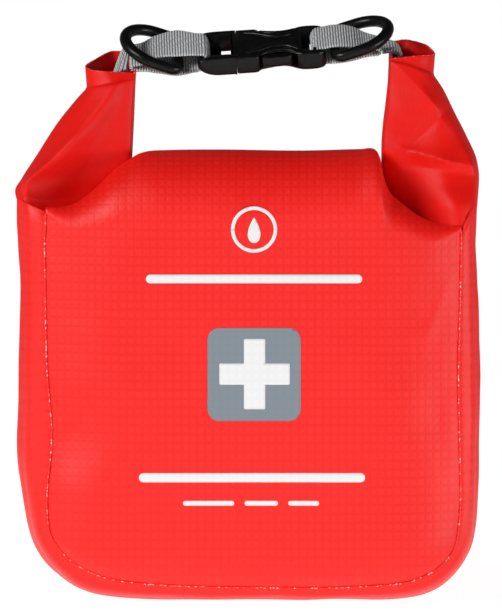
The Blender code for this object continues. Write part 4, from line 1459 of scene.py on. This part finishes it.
def make_handle():
    for side in ("left", "right"):
        make_strap(side)
        make_d_ring(side)
    make_male()
    make_female()
    make_latch("front", -1)
    make_latch("back", 1)


# ---------------------------------------------------------------- camera, floor and light

TARGET = Vector((1 * MM, 0, 114.9 * MM))
DISTANCE = 2.4
ELEVATION = radians(3)
VIEW_HEIGHT = 0.242
SENSOR = 36
FLOOR_RADIUS = 0.6


def aim(obj, place):
    """Put a lamp or the camera at a place, facing the part."""
    obj.location = place
    obj.rotation_euler = (TARGET - obj.location).to_track_quat("-Z", "Y").to_euler()


def add_light(name, place, size, power):
    light = bpy.data.lights.new(name, "AREA")
    light.shape = "RECTANGLE"
    light.size, light.size_y = size
    light.energy = power
    aim(put(name, light), place)


def make_camera():
    camera = bpy.data.cameras.new("camera")
    camera.sensor_fit = "VERTICAL"
    camera.sensor_height = SENSOR
    camera.lens = SENSOR * DISTANCE / VIEW_HEIGHT
    camera.clip_end = 20
    away = Vector((0, -cos(ELEVATION), sin(ELEVATION)))
    obj = bpy.context.scene.camera = put("camera", camera)
    aim(obj, TARGET + away * DISTANCE)


def make_world():
    """A white surround to look at, and a dimmer one, darker overhead, to light by."""
    world = bpy.data.worlds.new("studio")
    bpy.context.scene.world = world
    world.use_nodes = True
    nodes = Nodes(world.node_tree)
    nodes.tree.nodes.clear()
    place = nodes.add("ShaderNodeTexCoord").outputs["Generated"]
    height = nodes.add("ShaderNodeSeparateXYZ", {"Vector": place}).outputs["Z"]
    glow = nodes.blend(nodes.ramp(height, 0, 0.7), (0.20, 0.20, 0.20), (0.02, 0.02, 0.02))
    seen = nodes.add("ShaderNodeLightPath").outputs["Is Camera Ray"]
    inputs = {"Color": nodes.blend(seen, glow, (1, 1, 1)), "Strength": 1}
    light = nodes.add("ShaderNodeBackground", inputs)
    nodes.add("ShaderNodeOutputWorld", {"Surface": light.outputs[0]})


def make_floor():
    """A pale round floor, a hair below the bag."""
    circle = {"cap_ends": True, "segments": 96, "radius": FLOOR_RADIUS}
    floor = draw_mesh("floor", lambda bm: bmesh.ops.create_circle(bm, **circle))
    floor.location.z = -0.0003
    look = Look("floor_pale", 0.9, 0.1)
    look.set("Base Color", (0.35, 0.35, 0.35))
    look.set("Emission Color", (1, 1, 1))
    look.set("Emission Strength", 0.95)
    paint(floor, look.material)
    floor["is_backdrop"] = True


def make_stage():
    make_camera()
    make_world()
    make_floor()
    add_light("left_box", (-1.2, -0.98, 0.85), (0.9, 0.5), 22)
    add_light("right_box", (1.5, -0.8, 0.10), (0.9, 0.4), 13)
    add_light("front_box", (0.1, -1.7, 0.08), (0.6, 0.3), 2)
    bpy.context.scene.view_settings.view_transform = "Standard"
    bpy.context.scene.view_settings.look = "None"


make_stage()
make_bag()
make_ear("left", LEFT_EAR, LEFT_FOLDS)
make_ear("right", RIGHT_EAR, RIGHT_FOLDS)
make_roll("rolled_mouth", "bag", 0, 2.25, 6, 70, 60)
for end in ("left", "right"):
    make_roll(f"{end}_roll_end", f"{end}_ear", 2, 1.5, 5, 30, 40)
make_prints()
make_handle()
paint_nodes()

boxes = {"cad": cad_box, "visual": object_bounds()}
sizes = {name: [list(corner) for corner in box] for name, box in boxes.items()}
